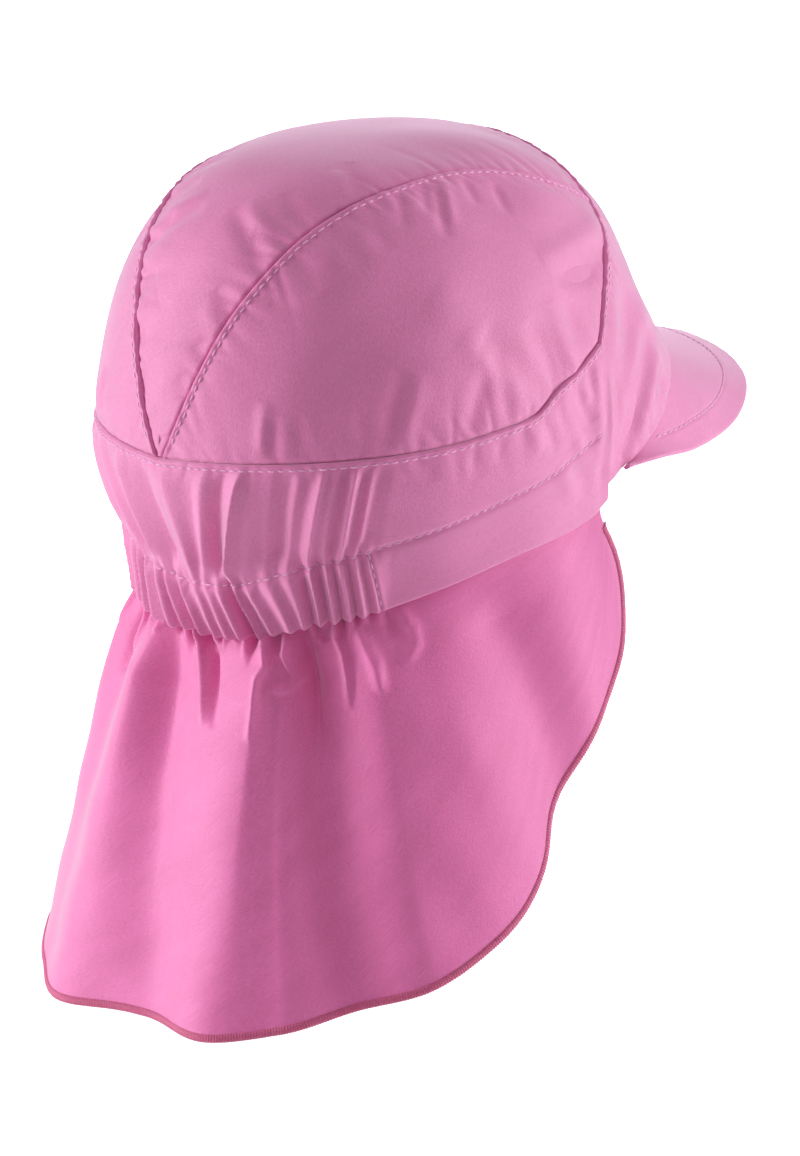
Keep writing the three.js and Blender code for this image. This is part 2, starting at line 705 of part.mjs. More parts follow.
function neckFlap() {
  const columns = flapColumns();
  const behind = (column, lift) => {
    const place = chartAtHeight(column.turn, column.top + lift);
    const way = inward(place);
    const out = bandFolds(column.turn, column.top + lift) - flapSetBack();
    return skin(place).addScaledVector(way, -out);
  };
  const outer = [
    columns.map((column) => behind(column, FLAP_TUCK)),
    columns.map((column) => behind(column, 0)),
  ];
  for (let i = 1; i <= FLAP_ROWS; i++) {
    outer.push(
      columns.map((column) => {
        const end = shareBeforeEdge(column, EDGING_WIDTH + SEAM_GAP);
        return flapColumnPoint(column, (end * i) / FLAP_ROWS);
      })
    );
  }
  const inner = outer.map((row, i) =>
    row.map((point, j) => {
      const column = columns[j];
      const way = i < 2 ? inward(chartAtHeight(column.turn, column.top)) : flapInward(point);
      return point.clone().addScaledVector(way, CLOTH);
    })
  );
  return closedWall(outer, inner);
}

function flapEdging() {
  const columns = flapColumns();
  const proud = (EDGING_THICKNESS - CLOTH) / 2;
  const outer = [EDGING_WIDTH, 0].map((distance) =>
    columns.map((column) => {
      const point = flapColumnPoint(column, shareBeforeEdge(column, distance));
      return point.addScaledVector(flapInward(point), -proud);
    })
  );
  const inner = outer.map((row) =>
    row.map((point) => point.clone().addScaledVector(flapInward(point), EDGING_THICKNESS))
  );
  return closedWall(outer, inner);
}

// Brim

// A point of the brim's inner edge, tucked under the front panel's lower edge
function brimRoot(turn) {
  const place = chartAtHeight(turn, brimSeamHeight(turn) - SEAM_GAP);
  return skin(place).addScaledVector(inward(place), CLOTH);
}

// A point of the brim's outer edge, for a share of the way from the middle to the brim's end
function brimEdge(share) {
  const end = brimRoot(degToRad(BRIM_END_TURN));
  const reach = end.y - brimRoot(Math.PI).y + BRIM_LENGTH;
  const angle = (share * Math.PI) / 2;
  const power = 2 / BRIM_SQUARENESS;
  const x = (end.x - BRIM_SIDE_REACH) * Math.sin(angle) ** power;
  const y = end.y - reach * Math.max(Math.cos(angle), 0) ** power;
  const rise = BRIM_ARCH * readTable(BRIM_EDGE, 'along', 'rise', share);
  return new THREE.Vector3(x, y, rise - BRIM_EDGE_DROP);
}

function brim() {
  const right = brimTurns().map((turn, k, turns) => {
    const [root, edge] = [brimRoot(turn), brimEdge(1 - k / (turns.length - 1))];
    return Array.from({ length: BRIM_ROWS + 1 }, (_, i) => root.clone().lerp(edge, i / BRIM_ROWS));
  });
  const mirror = (point) => new THREE.Vector3(-point.x, point.y, point.z);
  const left = right.slice(0, -1).reverse().map((column) => column.map(mirror));
  const columns = [...right, ...left];
  const below = columns.map((column, k) => {
    const fromEnd = smooth(Math.min(k, columns.length - 1 - k) / BRIM_ROWS);
    const thickness = lerp(BRIM_END_THICKNESS, BRIM_THICKNESS, fromEnd);
    return column.map((point, i) => {
      const next = columns[Math.min(k + 1, columns.length - 1)][i];
      const last = columns[Math.max(k - 1, 0)][i];
      const out = column[BRIM_ROWS].clone().sub(column[0]);
      const way = next.clone().sub(last).cross(out).normalize();
      return point.clone().addScaledVector(way, -Math.sign(way.z) * thickness);
    });
  });
  return closedWall(columns, below);
}

// Assembly

const CLOTH_PINK = 0xe08ec0;
const FLAP_PINK = 0xea8fc4;
const THREAD_PINK = 0xd2638f;

function piece(name, geometry, color) {
  const material = new THREE.MeshStandardMaterial({ color, roughness: 0.85, metalness: 0 });
  const mesh = new THREE.Mesh(geometry, material);
  mesh.name = name;
  return mesh;
}

const cap = new THREE.Group();
cap.add(
  piece('top_panel', topPanel(), CLOTH_PINK),
  piece('side_panel_right', sidePanel(1), CLOTH_PINK),
  piece('side_panel_left', sidePanel(-1), CLOTH_PINK),
  piece('front_panel', frontPanel(), CLOTH_PINK),
  piece('band', band(), CLOTH_PINK),
  piece('brim', brim(), CLOTH_PINK),
  piece('neck_flap', neckFlap(), FLAP_PINK),
  piece('flap_edging', flapEdging(), THREAD_PINK)
);

export default cap;
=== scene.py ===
"""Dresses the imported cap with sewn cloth, stitches and soft studio light.

Lengths are in millimetres until a mesh is made. The brim points to -Y, the wearer's right is -X.
"""

import math

import bpy
import numpy as np
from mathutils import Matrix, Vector


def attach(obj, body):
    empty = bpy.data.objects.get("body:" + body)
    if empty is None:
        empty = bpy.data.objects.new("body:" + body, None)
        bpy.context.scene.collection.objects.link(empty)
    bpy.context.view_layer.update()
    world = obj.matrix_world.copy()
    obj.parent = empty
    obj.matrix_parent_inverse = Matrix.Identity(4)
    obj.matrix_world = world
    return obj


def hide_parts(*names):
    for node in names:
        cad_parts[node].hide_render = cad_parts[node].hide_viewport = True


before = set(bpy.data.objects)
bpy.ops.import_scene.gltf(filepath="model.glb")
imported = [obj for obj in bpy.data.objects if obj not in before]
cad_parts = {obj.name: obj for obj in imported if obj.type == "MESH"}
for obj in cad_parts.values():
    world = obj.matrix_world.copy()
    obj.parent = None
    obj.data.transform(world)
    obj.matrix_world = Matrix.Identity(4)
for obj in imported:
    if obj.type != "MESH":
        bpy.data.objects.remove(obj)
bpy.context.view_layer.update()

# Sizes of the crown, as in the part's source
HEAD_HALF_WIDTH = 75
HEAD_TO_BACK = 87
HEAD_TO_FRONT = 93.5
CROWN_HEIGHT = 87.5
PLAN_SQUARENESS = 2.1  # 2 is an ellipse seen from above
FULLNESS_BACK = 3.4  # 2 is a round profile, more stands up fuller
FULLNESS_SIDE = 2.7
FULLNESS_FRONT = 3.1
FRONT_FLARE = 9  # how far the front panel spreads towards the brim
FLARE_HEIGHT = 39  # the spread starts this far above the base
FLARE_START_TURN = 100  # degrees from the centre back, as all the turns here
FLARE_FULL_TURN = 145
TOP_BEND_START = 0.45  # share of the top panel's length after which its rows bow to the front
TIP_HALF_WIDTH = 1.2  # half the width of the top panel where it ends at the back
CLOTH = 1.2
STEP = HEAD_TO_BACK * math.pi / 2  # millimetres of skin for one step of the crown's chart

# The band
BAND_HEIGHT = 53  # at the centre back
TEMPLE = math.radians(110.5)  # from the centre back to the seam at the temple
WAIST_BACK = 12.5  # how far the elastic draws the band's lower edge in at the back
WAIST_TEMPLE = 2
WAIST_LEVEL = 46  # the skin is drawn in fully this far below the crown's base
WAIST_BACK_TURN = 35
WAIST_TEMPLE_TURN = 115
CASING_THICKNESS = 2.2
ELASTIC_END = (44.5, 47.6)  # turns where it is sewn in, at the stitch line and at the edge

# The flap
FLAP_LEVEL = 166  # from the crown's base down to the hem at the back
FLAP_HALF_TURN = 113
FLAP_SPREAD_BACK = 0.26  # outward for each millimetre down
FLAP_SPREAD_FRONT = 0.13
FLAP_BACK_TURN = 40
FLAP_FRONT_TURN = 100
FLAP_TUCK = 4  # how far the flap reaches up behind the casing
FLAP_RETURN = 40  # how far below the casing the flap is back in line with the band's skin
FLAP_BEHIND = 2.7  # how far inside that skin it starts
FLAP_CLOTH = 0.9
LEFT_SAG = 4  # how much lower the hem hangs on the wearer's left
LEFT_SAG_TURN = 60
COLUMN_FAN = 1.18  # above 1 brings the flap's columns together at the back of the hem

# The brim
BRIM_LENGTH = 46.5  # from the front panel to the edge, at the middle
BRIM_SIDE_REACH = 2.5  # how far the brim's ends stand out past the front panel
BRIM_EDGE_DROP = 10.8  # from the crown's base down to the edge's lowest place
BRIM_ARCH = 15  # from there up to the middle of the edge
BRIM_THICKNESS = 3
BRIM_END_THICKNESS = 1.2
BRIM_SQUARENESS = 2.1
BRIM_END_TURN = 116

# Stitch lines off the seams, and how much deeper the folds are than their tables say
TOPSTITCH = 1.9
BAND_TOPSTITCH = 1.7
BRIM_TOPSTITCH = 12
GATHER_SCALE = 1.55
BAND_FOLD_SCALE = 1.15
FLAP_CREASE_SCALE = 1.4

# Points of the grids, along and across
SIDE_GRID = (300, 92)
TOP_GRID = (264, 112)
FRONT_GRID = (330, 90)
BAND_COLUMNS = (150, 70)  # gathered ones and plain ones on each side of the centre back
BAND_ROWS = (40, 32)  # above the stitch line, and in the casing
FLAP_COLUMNS = (130, 45)
FLAP_ROWS = (46, 72)  # in the top quarter, and below it
BRIM_GRID = (110, 60)  # from an end to the middle, and outward

MM = 0.001  # metres
FLOOR = -0.4  # metres

# Chart places (across, along) of the crown's seams, on the wearer's right
CORNER = (0.345, -0.437)
TOP_SEAM = [
    (0.075, 0.92), (0.13, 0.83), (0.172, 0.74), (0.222, 0.62), (0.257, 0.5), (0.287, 0.38),
    (0.322, 0.22), (0.34, 0.08), (0.353, -0.05), (0.364, -0.18), (0.364, -0.31), CORNER,
]
FRONT_SEAM = [
    (0.712, -0.317), (0.663, -0.34), (0.603, -0.373), (0.541, -0.404), (0.47, -0.43), (0.4, -0.441),
    CORNER,
]
TOP_EDGE = [
    CORNER, (0.26, -0.415), (0.17, -0.375), (0.08, -0.335), (0, -0.32),
]
SEAM_CELLS, EDGE_CELLS = 9, 4  # steps of the front panel along its side seam and its top edge

# Seams as (share of the turn, share of a height)
BAND_SEAM = [
    (0, 0.01), (0.16, 0.03), (0.36, 0.055), (0.54, 0.081), (0.68, 0.115), (0.775, 0.144),
    (0.85, 0.215), (0.92, 0.26), (1, 0.325),
]
BAND_EDGE = [
    (0, 1), (0.13, 1), (0.27, 0.91), (0.44, 0.81), (0.6, 0.68), (0.75, 0.565), (0.9, 0.485),
    (0.96, 0.435), (1, 0.37),
]
BRIM_SEAM = [
    (0, -0.165), (0.079, -0.118), (0.165, -0.067), (0.265, 0.005), (0.35, 0.087), (0.48, 0.155),
    (0.7, 0.185), (1, 0.195),
]
FLAP_EDGE = [
    (0, 1), (0.18, 0.995), (0.363, 0.94), (0.496, 0.888), (0.602, 0.825), (0.681, 0.757),
    (0.733, 0.68), (0.77, 0.59), (0.85, 0.49), (0.929, 0.385), (0.982, 0.27), (1, 0.12),
    (0.979, 0.035),
]
BRIM_EDGE = [
    (0, 1), (0.15, 0.84), (0.3, 0.65), (0.45, 0.46), (0.6, 0.17), (0.8, 0.01), (0.9, 0.08),
    (1, 0.12),
]
# Height of the casing's stitch line above the band's lower edge, by degrees from the centre back
CASING_LINE = [
    (0, 15), (10, 16), (20, 17.8), (30, 18.6), (49, 20.5), (75, 20.3), (89, 20.8), (98, 23),
    (111, 25.5),
]

# How strong the puckers are along the panels' seams, from the back
SIDE_TOP_STRENGTH = [(0, 1.2), (0.3, 1.5), (0.45, 1.6), (0.6, 1.2), (0.8, 0.7), (1, 0.6)]
SIDE_LOW_STRENGTH = [(0, 1), (0.2, 0.8), (0.5, 1.2), (0.68, 1.1), (0.8, 0.7), (1, 0.7)]
TOP_STRENGTH = [(0, 1.3), (0.25, 1.8), (0.45, 1.5), (0.7, 0.9), (1, 0.8)]

# Crests and valleys of the casing in order: degrees at the stitch line and at the edge, heights
# there, and how pointed
GATHERS = [
    (-55, -55, 0, 0, 0),
    (-48, -47, 0, 0, 0),
    (-45, -44, 0.9, 1.3, 0),
    (-42.5, -41.5, -0.8, -1.2, 1),
    (-40, -38.5, 1, 1.6, 0.5),
    (-37.8, -36, -0.5, -1, 1),
    (-35, -33, 0.8, 1.4, 0),
    (-32.5, -30.8, -0.9, -1.4, 1),
    (-30, -27.5, 1.2, 1.7, 0.6),
    (-27.5, -25, -0.3, -0.8, 1),
    (-25, -22.5, 0.8, 1.3, 0),
    (-22.8, -19.8, -0.9, -1.4, 1),
    (-21, -17.6, 0.9, 1.4, 0.5),
    (-19, -15.2, -1, -1.7, 1),
    (-17.2, -12.6, 1, 1.5, 0.7),
    (-14.6, -9, -0.3, -0.8, 0.5),
    (-11.8, -5.2, 1.1, 1.7, 0.2),
    (-10.1, -3, -0.2, -0.8, 0.8),
    (-8.5, -0.9, 0.9, 1.3, 0.8),
    (-5.9, 1.8, -1, -1.4, 0.8),
    (-3.3, 4.5, 0.9, 1.5, 0.7),
    (-0.7, 6.3, -0.1, -0.5, 0.3),
    (2, 8.2, 0.7, 0.9, 0.7),
    (3.7, 9.8, -0.2, -0.5, 0.3),
    (5.4, 11.6, 0.7, 1, 0.2),
    (7.4, 13.3, 0, -0.4, 0.3),
    (8.9, 14.8, 0.8, 1.1, 0.3),
    (11.4, 17.1, -2, -2.8, 1),
    (13.3, 19.4, 1.2, 1.6, 1),
    (14.7, 20.8, -0.3, -0.3, 0.4),
    (16.2, 22.4, 0.8, 1.1, 0.8),
    (18.6, 24.3, -0.1, -0.2, 0.2),
    (21.5, 26.6, 0.9, 1.4, 0.1),
    (24.1, 28.1, 0.1, -0.2, 0.2),
    (26.6, 29.6, 0.9, 1.1, 0.2),
    (29.6, 31.4, -1.8, -1.8, 0.9),
    (31.5, 33.3, 1.1, 1.3, 1),
    (33.2, 35, -1.8, -1.5, 0.6),
    (35, 36.5, 1.1, 1.2, 0.5),
    (36.5, 38.1, -1.3, -1.4, 1),
    (38.1, 40, 1.1, 1.2, 0.4),
    (39.7, 41.6, -1.2, -1.3, 0.9),
    (41.2, 43.3, 1, 1.1, 0.6),
    (42.7, 45.2, -1, -0.8, 0.8),
    (44, 46.9, 0.6, 0.6, 0.3),
    (46.5, 49.5, 0, 0, 0),
    (60, 60, 0, 0, 0),
]

# Crests and valleys of the band in order: degrees at the crown's seam and at the casing, heights
# there, and how pointed
BAND_PLEATS = [
    (-60, -60, 0, 0, 0),
    (-50, -50, 0, 0, 0),
    (-48, -43, 0.6, 1.2, 0),
    (-42, -37, -0.8, -1.6, 0.3),
    (-36, -30, 0.8, 1.6, 0.3),
    (-30, -24, -0.6, -1.3, 0.2),
    (-24, -17, 0.6, 1.3, 0.3),
    (-19, -13.5, -0.4, -0.9, 0),
    (-14, -9.9, 0.9, 1.8, 0.6),
    (-5.8, -4, -1.3, -2.7, 0.4),
    (0.6, 2.3, 0.7, 1.4, 0.3),
    (8, 3.8, -0.5, -0.9, 0),
    (11.7, 5.6, 0.9, 1.6, 0.2),
    (16, 8.8, -1.1, -2.5, 0.4),
    (19.7, 11.7, 2, 4, 0.8),
    (22.3, 15.5, 0, 1, 0),
    (26.2, 20.5, 0, -1.4, 0.2),
    (29.5, 24.5, -1.2, -3.4, 0),
    (31.6, 26.4, 0, -1, 0.2),
    (33.8, 28.3, -0.5, -1.4, 0),
    (36.3, 30.8, 1, 1.8, 0.8),
    (37.6, 32.5, 0.2, 0.3, 0.2),
    (38.8, 34, 0.7, 1.3, 0.6),
    (40.3, 35.8, -0.9, -1.8, 0.5),
    (42.6, 38.3, 1.3, 1.8, 0.8),
    (44.6, 40.5, -0.9, -1.4, 0.3),
    (46, 42, 0.3, 0.4, 0.3),
    (47.6, 43.4, -0.5, -1.3, 0.4),
    (50.5, 48, 0, 0, 0),
    (60, 60, 0, 0, 0),
]

# Crests and valleys of the flap in order: degrees at the casing, a third down and at the hem,
# heights at the casing, just under it and at the hem, and how pointed
FLAP_PLEATS = [
    (-112, -112, -112, 0, 0, 0, 0),
    (-98, -98, -98, 0, 1, -1, 0),
    (-84, -85, -86, 0, -3, -3, 0),
    (-64, -69, -76, 0, 3, -4, 0.3),
    (-48, -52, -58, -0.5, -4, -3.4, 0.3),
    (-36, -39, -42, 0.5, 4, 0.6, 0.5),
    (-28, -29, -31, -1, -1.6, 0.5, 0.5),
    (-15, -15, -17, 1.4, 5.4, 4, 0.4),
    (-9, -5, 3, -2, -5.6, -5, 0),
    (20.6, 20.6, 19, 2.4, 6.4, 4.6, 0.9),
    (23, 25.5, 30, 0, 2, 1.6, 0),
    (28.4, 33, 42, -3, -7, -4, 0.5),
    (44, 49, 57, 1, 3.4, 2.8, 0.2),
    (54, 61, 76, 0.8, 2.8, 2, 0),
    (74, 82, 94, 0, -3.2, -1.4, 0),
    (94, 98, 102, 0, 1.4, 0.6, 0),
    (112, 112, 112, 0, 0, 0, 0),
]

# Short creases of the flap under the casing: height, width, then degrees and heights along it
FLAP_CREASES = [
    (1.6, 1.3, (20.2, -46), (20.6, -55), (21.8, -59.4), (20.2, -62.6), (20.9, -69.5), (20.6, -80)),
    (2.4, 1.3, (24.3, -46), (24.9, -56), (27.4, -61.5), (28.9, -64.8)),
    (1.8, 1.5, (29, -63.4), (26.5, -65.5), (22, -65)),
    (2, 1.3, (35.2, -43.5), (36.3, -51), (38.2, -55.5), (39.3, -62.4), (40, -72)),
    (1.2, 1.4, (40.4, -44.5), (43, -52.5), (45.3, -58.2), (46.6, -65.2)),
    (-2.4, 2.3, (27.6, -48), (29.7, -58.5), (31.2, -65.4), (33, -82)),
    (-2.6, 1.9, (-1, -46), (3, -55.5), (5.6, -62), (7.7, -70), (10.4, -79)),
    (-1.3, 1.3, (-10.8, -50), (-8.3, -57)),
    (-1.5, 1.3, (-4.5, -50), (-1, -60)),
    (1.7, 1.5, (-3.5, -48), (0.5, -59), (4, -70), (7, -80)),
    (-1.1, 1.2, (6.2, -51), (7.4, -58)),
    (1.2, 1.8, (51, -42), (54.8, -48.5), (55.3, -52.8), (52.4, -58)),
    (-1, 2, (49, -43), (52, -51)),
    (1, 1.6, (43.2, -49), (46.7, -56.8), (47.7, -66)),
    (-1.1, 1.5, (33, -46), (33.8, -53)),
    (1, 1.3, (31, -47), (31.5, -54)),
    (-1.2, 1.5, (22, -49), (23, -56)),
    (1, 1.3, (-14, -50), (-15, -58)),
    (1.4, 1.3, (-22, -47), (-21, -56), (-23, -66)),
    (1.3, 1.2, (-34, -43), (-36, -54), (-38, -62)),
    (-1.8, 2, (-28, -46), (-30, -60), (-31, -76)),
    (1.1, 1.4, (-42, -42), (-45, -53)),
]

# Creases of the crown: height, width, then chart places along it on the wearer's right
TOP_CREASES = [
    (-0.9, 3, (0.05, 0.505), (0.143, 0.559), (0.225, 0.6)),
    (0.8, 3, (0.07, 0.475), (0.181, 0.53), (0.25, 0.56)),
    (-0.7, 2.5, (0.14, 0.54), (0.26, 0.52)),
    (0.6, 3, (0.09, 0.715), (0.18, 0.75)),
    (-0.6, 3, (0.11, 0.676), (0.2, 0.71)),
    (-0.6, 3, (0.17, 0.24), (0.3, 0.34)),
    (0.5, 3, (0.18, 0.29), (0.29, 0.38)),
    (-0.6, 3, (0.14, 0.42), (0.265, 0.48)),
    (-0.5, 3, (0.06, 0.85), (0.125, 0.885)),
    (-0.5, 3, (0.1, 0.78), (0.16, 0.815)),
]
SIDE_CREASES = [
    (0.9, 2.2, (0.355, 0.8), (0.39, 0.885)),
    (-0.9, 2.2, (0.39, 0.81), (0.42, 0.875)),
    (-0.5, 2.5, (0.6, 0.65), (0.67, 0.69)),
    (-0.6, 2, (0.33, 0.23), (0.425, 0.3)),
    (-0.9, 2, (0.375, 0.13), (0.5, 0.215)),
    (0.7, 2.2, (0.36, 0.1), (0.48, 0.17)),
    (-0.6, 2, (0.345, 0.16), (0.43, 0.215)),
    (-0.6, 2, (0.37, 0.03), (0.46, 0.045)),
    (-0.6, 2, (0.4, -0.06), (0.5, -0.04)),
    (1.1, 4, (0.62, -0.08), (0.56, -0.25), (0.42, -0.44)),
    (-1.1, 3.5, (0.66, -0.12), (0.61, -0.3), (0.5, -0.42)),
    (-0.9, 5, (0.72, 0.24), (0.819, 0.12), (0.9, -0.04)),
    (0.8, 5, (0.69, 0.3), (0.834, 0.2), (0.9, 0.1)),
    (-0.8, 3, (0.64, 0.5), (0.71, 0.64)),
    (0.7, 3, (0.68, 0.46), (0.74, 0.6)),
    (-0.8, 3, (0.86, 0.37), (0.78, 0.25)),
    (-0.8, 3.5, (0.9, 0.19), (0.76, 0.21)),
    (-0.9, 4, (0.9, -0.09), (0.74, 0.04)),
    (0.9, 4, (0.87, -0.16), (0.7, -0.07)),
    (-0.7, 4, (0.83, -0.22), (0.69, -0.14)),
    (-0.5, 3, (0.3, 0.43), (0.43, 0.45)),
    (-0.5, 3, (0.32, 0.34), (0.44, 0.375)),
    (-0.5, 3, (0.27, 0.535), (0.37, 0.56)),
    (0.6, 8, (0.58, 0.34), (0.73, 0.23)),
    (-0.4, 2.5, (0.53, 0.72), (0.6, 0.755)),
    (-0.5, 2.5, (0.455, 0.765), (0.5, 0.825)),
]

# Folds that run from the front panel over the temple into the band
FRONT_CREASES = [
    (1.1, 3, (0.8, -0.262), (0.899, -0.281), (1.02, -0.32)),
    (-1.1, 2.6, (0.82, -0.29), (0.93, -0.322), (1.03, -0.35)),
    (0.9, 2.6, (0.8, -0.325), (0.93, -0.357), (1.02, -0.375)),
    (-0.8, 2.6, (0.82, -0.358), (0.91, -0.377), (1.02, -0.395)),
    (-1.7, 4.5, (0.6, -0.57), (0.74, -0.515), (0.84, -0.468), (1, -0.43)),
    (1.4, 4, (0.62, -0.62), (0.767, -0.54), (0.95, -0.475)),
    (-0.8, 3, (0.67, -0.62), (0.78, -0.57)),
    (-0.8, 4, (0.54, -0.51), (0.7, -0.45), (0.84, -0.38)),
    (0.8, 4, (0.56, -0.42), (0.68, -0.385), (0.82, -0.34)),
    (0.8, 4, (0.47, -0.63), (0.65, -0.53), (0.8, -0.42)),
]

# Creases of the band at the temple: height, width, then degrees and heights along it
TEMPLE_CREASES = [
    (0.9, 2.4, (93, 15.5), (96.9, 5.8), (101.4, -3)),
    (-0.8, 2.2, (91, 17), (95.2, 9.1), (98.4, 1.5)),
    (-0.8, 2.2, (99.6, 19), (101.3, 13.2), (104, 6)),
    (-0.6, 2, (87.5, 12), (91.6, 0.5)),
    (-0.8, 2.4, (104.4, 23), (105.8, 15), (106.5, 8)),
    (0.6, 2.4, (83, 10.5), (86.5, 1.5)),
    (-0.5, 3, (97, -5), (104.5, -13.4)),
    (0.6, 3, (92, -4), (99.5, -17)),
    (-0.6, 3, (105.7, 0), (109, -16)),
    (-0.4, 2.4, (55, 7), (58, -3)),
    (-0.4, 2.4, (66.4, 7), (70.2, -3)),
    (0.6, 2.6, (102, 21), (103.6, 12)),
]


def lerp(a, b, share):
    return a + (b - a) * share


def smooth(share):
    s = np.clip(share, 0, 1)
    return s * s * (3 - 2 * s)


def length(v):
    return np.linalg.norm(v, axis=-1)


def unit(v):
    return v / np.maximum(length(v), 1e-9)[..., None]


def table(rows, at):
    """Reads a table of (place, value) rows with a smooth curve through them."""
    x, y = np.array(rows, float).T
    slope = np.empty_like(y)
    slope[1:-1] = (y[2:] - y[:-2]) / (x[2:] - x[:-2])
    slope[0] = (y[1] - y[0]) / (x[1] - x[0])
    slope[-1] = (y[-1] - y[-2]) / (x[-1] - x[-2])
    k = np.clip(np.searchsorted(x, at), 1, len(x) - 1)
    span = x[k] - x[k - 1]
    t = np.clip((at - x[k - 1]) / span, 0, 1)
    chord = (y[k] - y[k - 1]) / span
    bend = (slope[k - 1] - chord) * (1 - t) - (slope[k] - chord) * t
    return lerp(y[k - 1], y[k], t) + t * (1 - t) * span * bend


def line_run(points):
    """The length along a line up to each of its points."""
    return np.concatenate([[0], np.cumsum(length(np.diff(points, axis=0)))])


def read_along(values, run, at):
    """A line's values, read at lengths along it."""
    return np.stack([np.interp(at, run, column) for column in values.T], -1)


def curve(points, at):
    """A smooth curve through the points, read at shares of its length."""
    p = np.array(points, float)
    p = np.vstack([2 * p[0] - p[1], p, 2 * p[-1] - p[-2]])
    t = np.linspace(0, 1, 24)[:, None]
    fine = []
    for a, b, c, d in zip(p, p[1:], p[2:], p[3:]):
        t0, t1, t2 = (max(np.linalg.norm(v) ** 0.5, 1e-6) for v in (b - a, c - b, d - c))
        m1 = ((b - a) / t0 - (c - a) / (t0 + t1) + (c - b) / t1) * t1
        m2 = ((c - b) / t1 - (d - b) / (t1 + t2) + (d - c) / t2) * t1
        cubic = 2 * b - 2 * c + m1 + m2
        square = 3 * c - 3 * b - 2 * m1 - m2
        fine.append(cubic * t**3 + square * t**2 + m1 * t + b)
    fine = np.concatenate(fine)
    run = line_run(fine)
    return read_along(fine, run, np.asarray(at) * run[-1])


# The cap's smooth skin. Turns are in radians from the centre back, + towards the wearer's right.


def base_radius(turn):
    """The crown's base seen from above."""
    depth = np.where(np.cos(turn) > 0, HEAD_TO_BACK, HEAD_TO_FRONT)
    along, across = abs(np.cos(turn) / depth), abs(np.sin(turn) / HEAD_HALF_WIDTH)
    return (along**PLAN_SQUARENESS + across**PLAN_SQUARENESS) ** (-1 / PLAN_SQUARENESS)


def fullness(turn):
    """How full the crown's profile stands up at a turn."""
    on_middle = np.where(np.cos(turn) > 0, FULLNESS_BACK, FULLNESS_FRONT)
    return lerp(FULLNESS_SIDE, on_middle, np.cos(turn) ** 2)


def chart(turn, out):
    """A place on the round chart of the crown, whose rim at 1 is the crown's base."""
    return np.stack([out * np.sin(turn), out * np.cos(turn)], -1)


def chart_at(turn, z):
    """The chart place at a turn and a height."""
    share = np.clip(z / CROWN_HEIGHT, 0, 1)
    reach = (1 - share**2) ** (1 / fullness(turn))
    return chart(turn, np.where(z <= 0, 1 - z / STEP, np.arcsin(reach) * 2 / math.pi))


def point_at(turn, radius, z):
    return np.stack([-radius * np.sin(turn), radius * np.cos(turn), z], -1)


def skin(place):
    """The point of the cap's smooth outside at a chart place."""
    turn = np.arctan2(place[..., 0], place[..., 1])
    out = length(place)
    reach = np.sin(np.minimum(out, 1) * math.pi / 2)
    height = CROWN_HEIGHT * np.sqrt(np.maximum(1 - reach ** fullness(turn), 0))
    z = np.where(out > 1, (1 - out) * STEP, height)
    degrees = np.degrees(abs(turn))
    near_back = smooth((WAIST_TEMPLE_TURN - degrees) / (WAIST_TEMPLE_TURN - WAIST_BACK_TURN))
    waist = lerp(WAIST_TEMPLE, WAIST_BACK, near_back) * smooth(-z / WAIST_LEVEL)
    at_front = smooth((degrees - FLARE_START_TURN) / (FLARE_FULL_TURN - FLARE_START_TURN))
    flare = FRONT_FLARE * at_front * smooth((FLARE_HEIGHT - z) / FLARE_HEIGHT)
    return point_at(turn, base_radius(turn) * reach - waist + flare, z)


def outward(place):
    """The skin's unit normal at a chart place."""
    step = 1e-3
    across = skin(place + [step, 0]) - skin(place - [step, 0])
    along = skin(place + [0, step]) - skin(place - [0, step])
    return -unit(np.cross(across, along))


def outward_flat(points):
    """The way away from the head, level."""
    return unit(points * [1, 1, 0])


def on_right(points):
    """The points with those of the wearer's left mirrored to the right."""
    return points * np.where(points[..., [0]] > 0, [-1, 1, 1], [1, 1, 1])


def band_top(turn):
    return CROWN_HEIGHT * table(BAND_SEAM, abs(turn) / TEMPLE)


def band_bottom(turn):
    return -BAND_HEIGHT * table(BAND_EDGE, abs(turn) / TEMPLE)


def casing_top(turn):
    return band_bottom(turn) + table(CASING_LINE, np.degrees(abs(turn)))


def brim_seam(turn):
    return CROWN_HEIGHT * table(BRIM_SEAM, (turn - TEMPLE) / (math.pi - TEMPLE))


# Relief of the cloth: all of these give millimetres out of the skin


def wobble(points, seed, size, depth):
    """Soft unevenness of worn cloth, about size across."""
    rng = np.random.default_rng(seed)
    total = np.zeros(points.shape[:-1])
    for _ in range(7):
        way = rng.normal(size=3)
        way *= 2 * math.pi / size / np.linalg.norm(way) * rng.uniform(0.6, 1.5)
        total += np.sin(points @ way + rng.uniform(0, 6.3))
    return depth * total / 2.6


def puckers(along, off, seed, depth, reach, spacing, strength=None):
    """Short creases that run away from a seam: places along it and off it in millimetres."""
    rng = np.random.default_rng(seed)
    total = np.zeros(np.broadcast(along, off).shape)
    sewn_down = smooth(off / 0.8)
    end = np.max(along)
    at = rng.uniform(0, spacing)
    while at < end:
        width = rng.uniform(0.7, 1.5)
        far = reach * rng.uniform(0.5, 1.6)
        deep = depth * rng.uniform(0.3, 1.3)
        if strength is not None:
            deep *= float(table(strength, at / end))
        lean = rng.normal(0, 0.22)
        sideways = (along - at - lean * off) / (width * (1 + off / 14))
        total -= deep * np.exp(-(sideways**2)) * np.exp(-((off / far) ** 1.6)) * sewn_down
        at += spacing * rng.uniform(0.5, 1.6)
    return total + 0.3 * depth * np.exp(-((off / reach) ** 2)) * sewn_down


def sunk_edge(off):
    """The cloth that dives under its neighbour at a seam."""
    return -1.4 * np.exp(-((off / 0.55) ** 1.3))


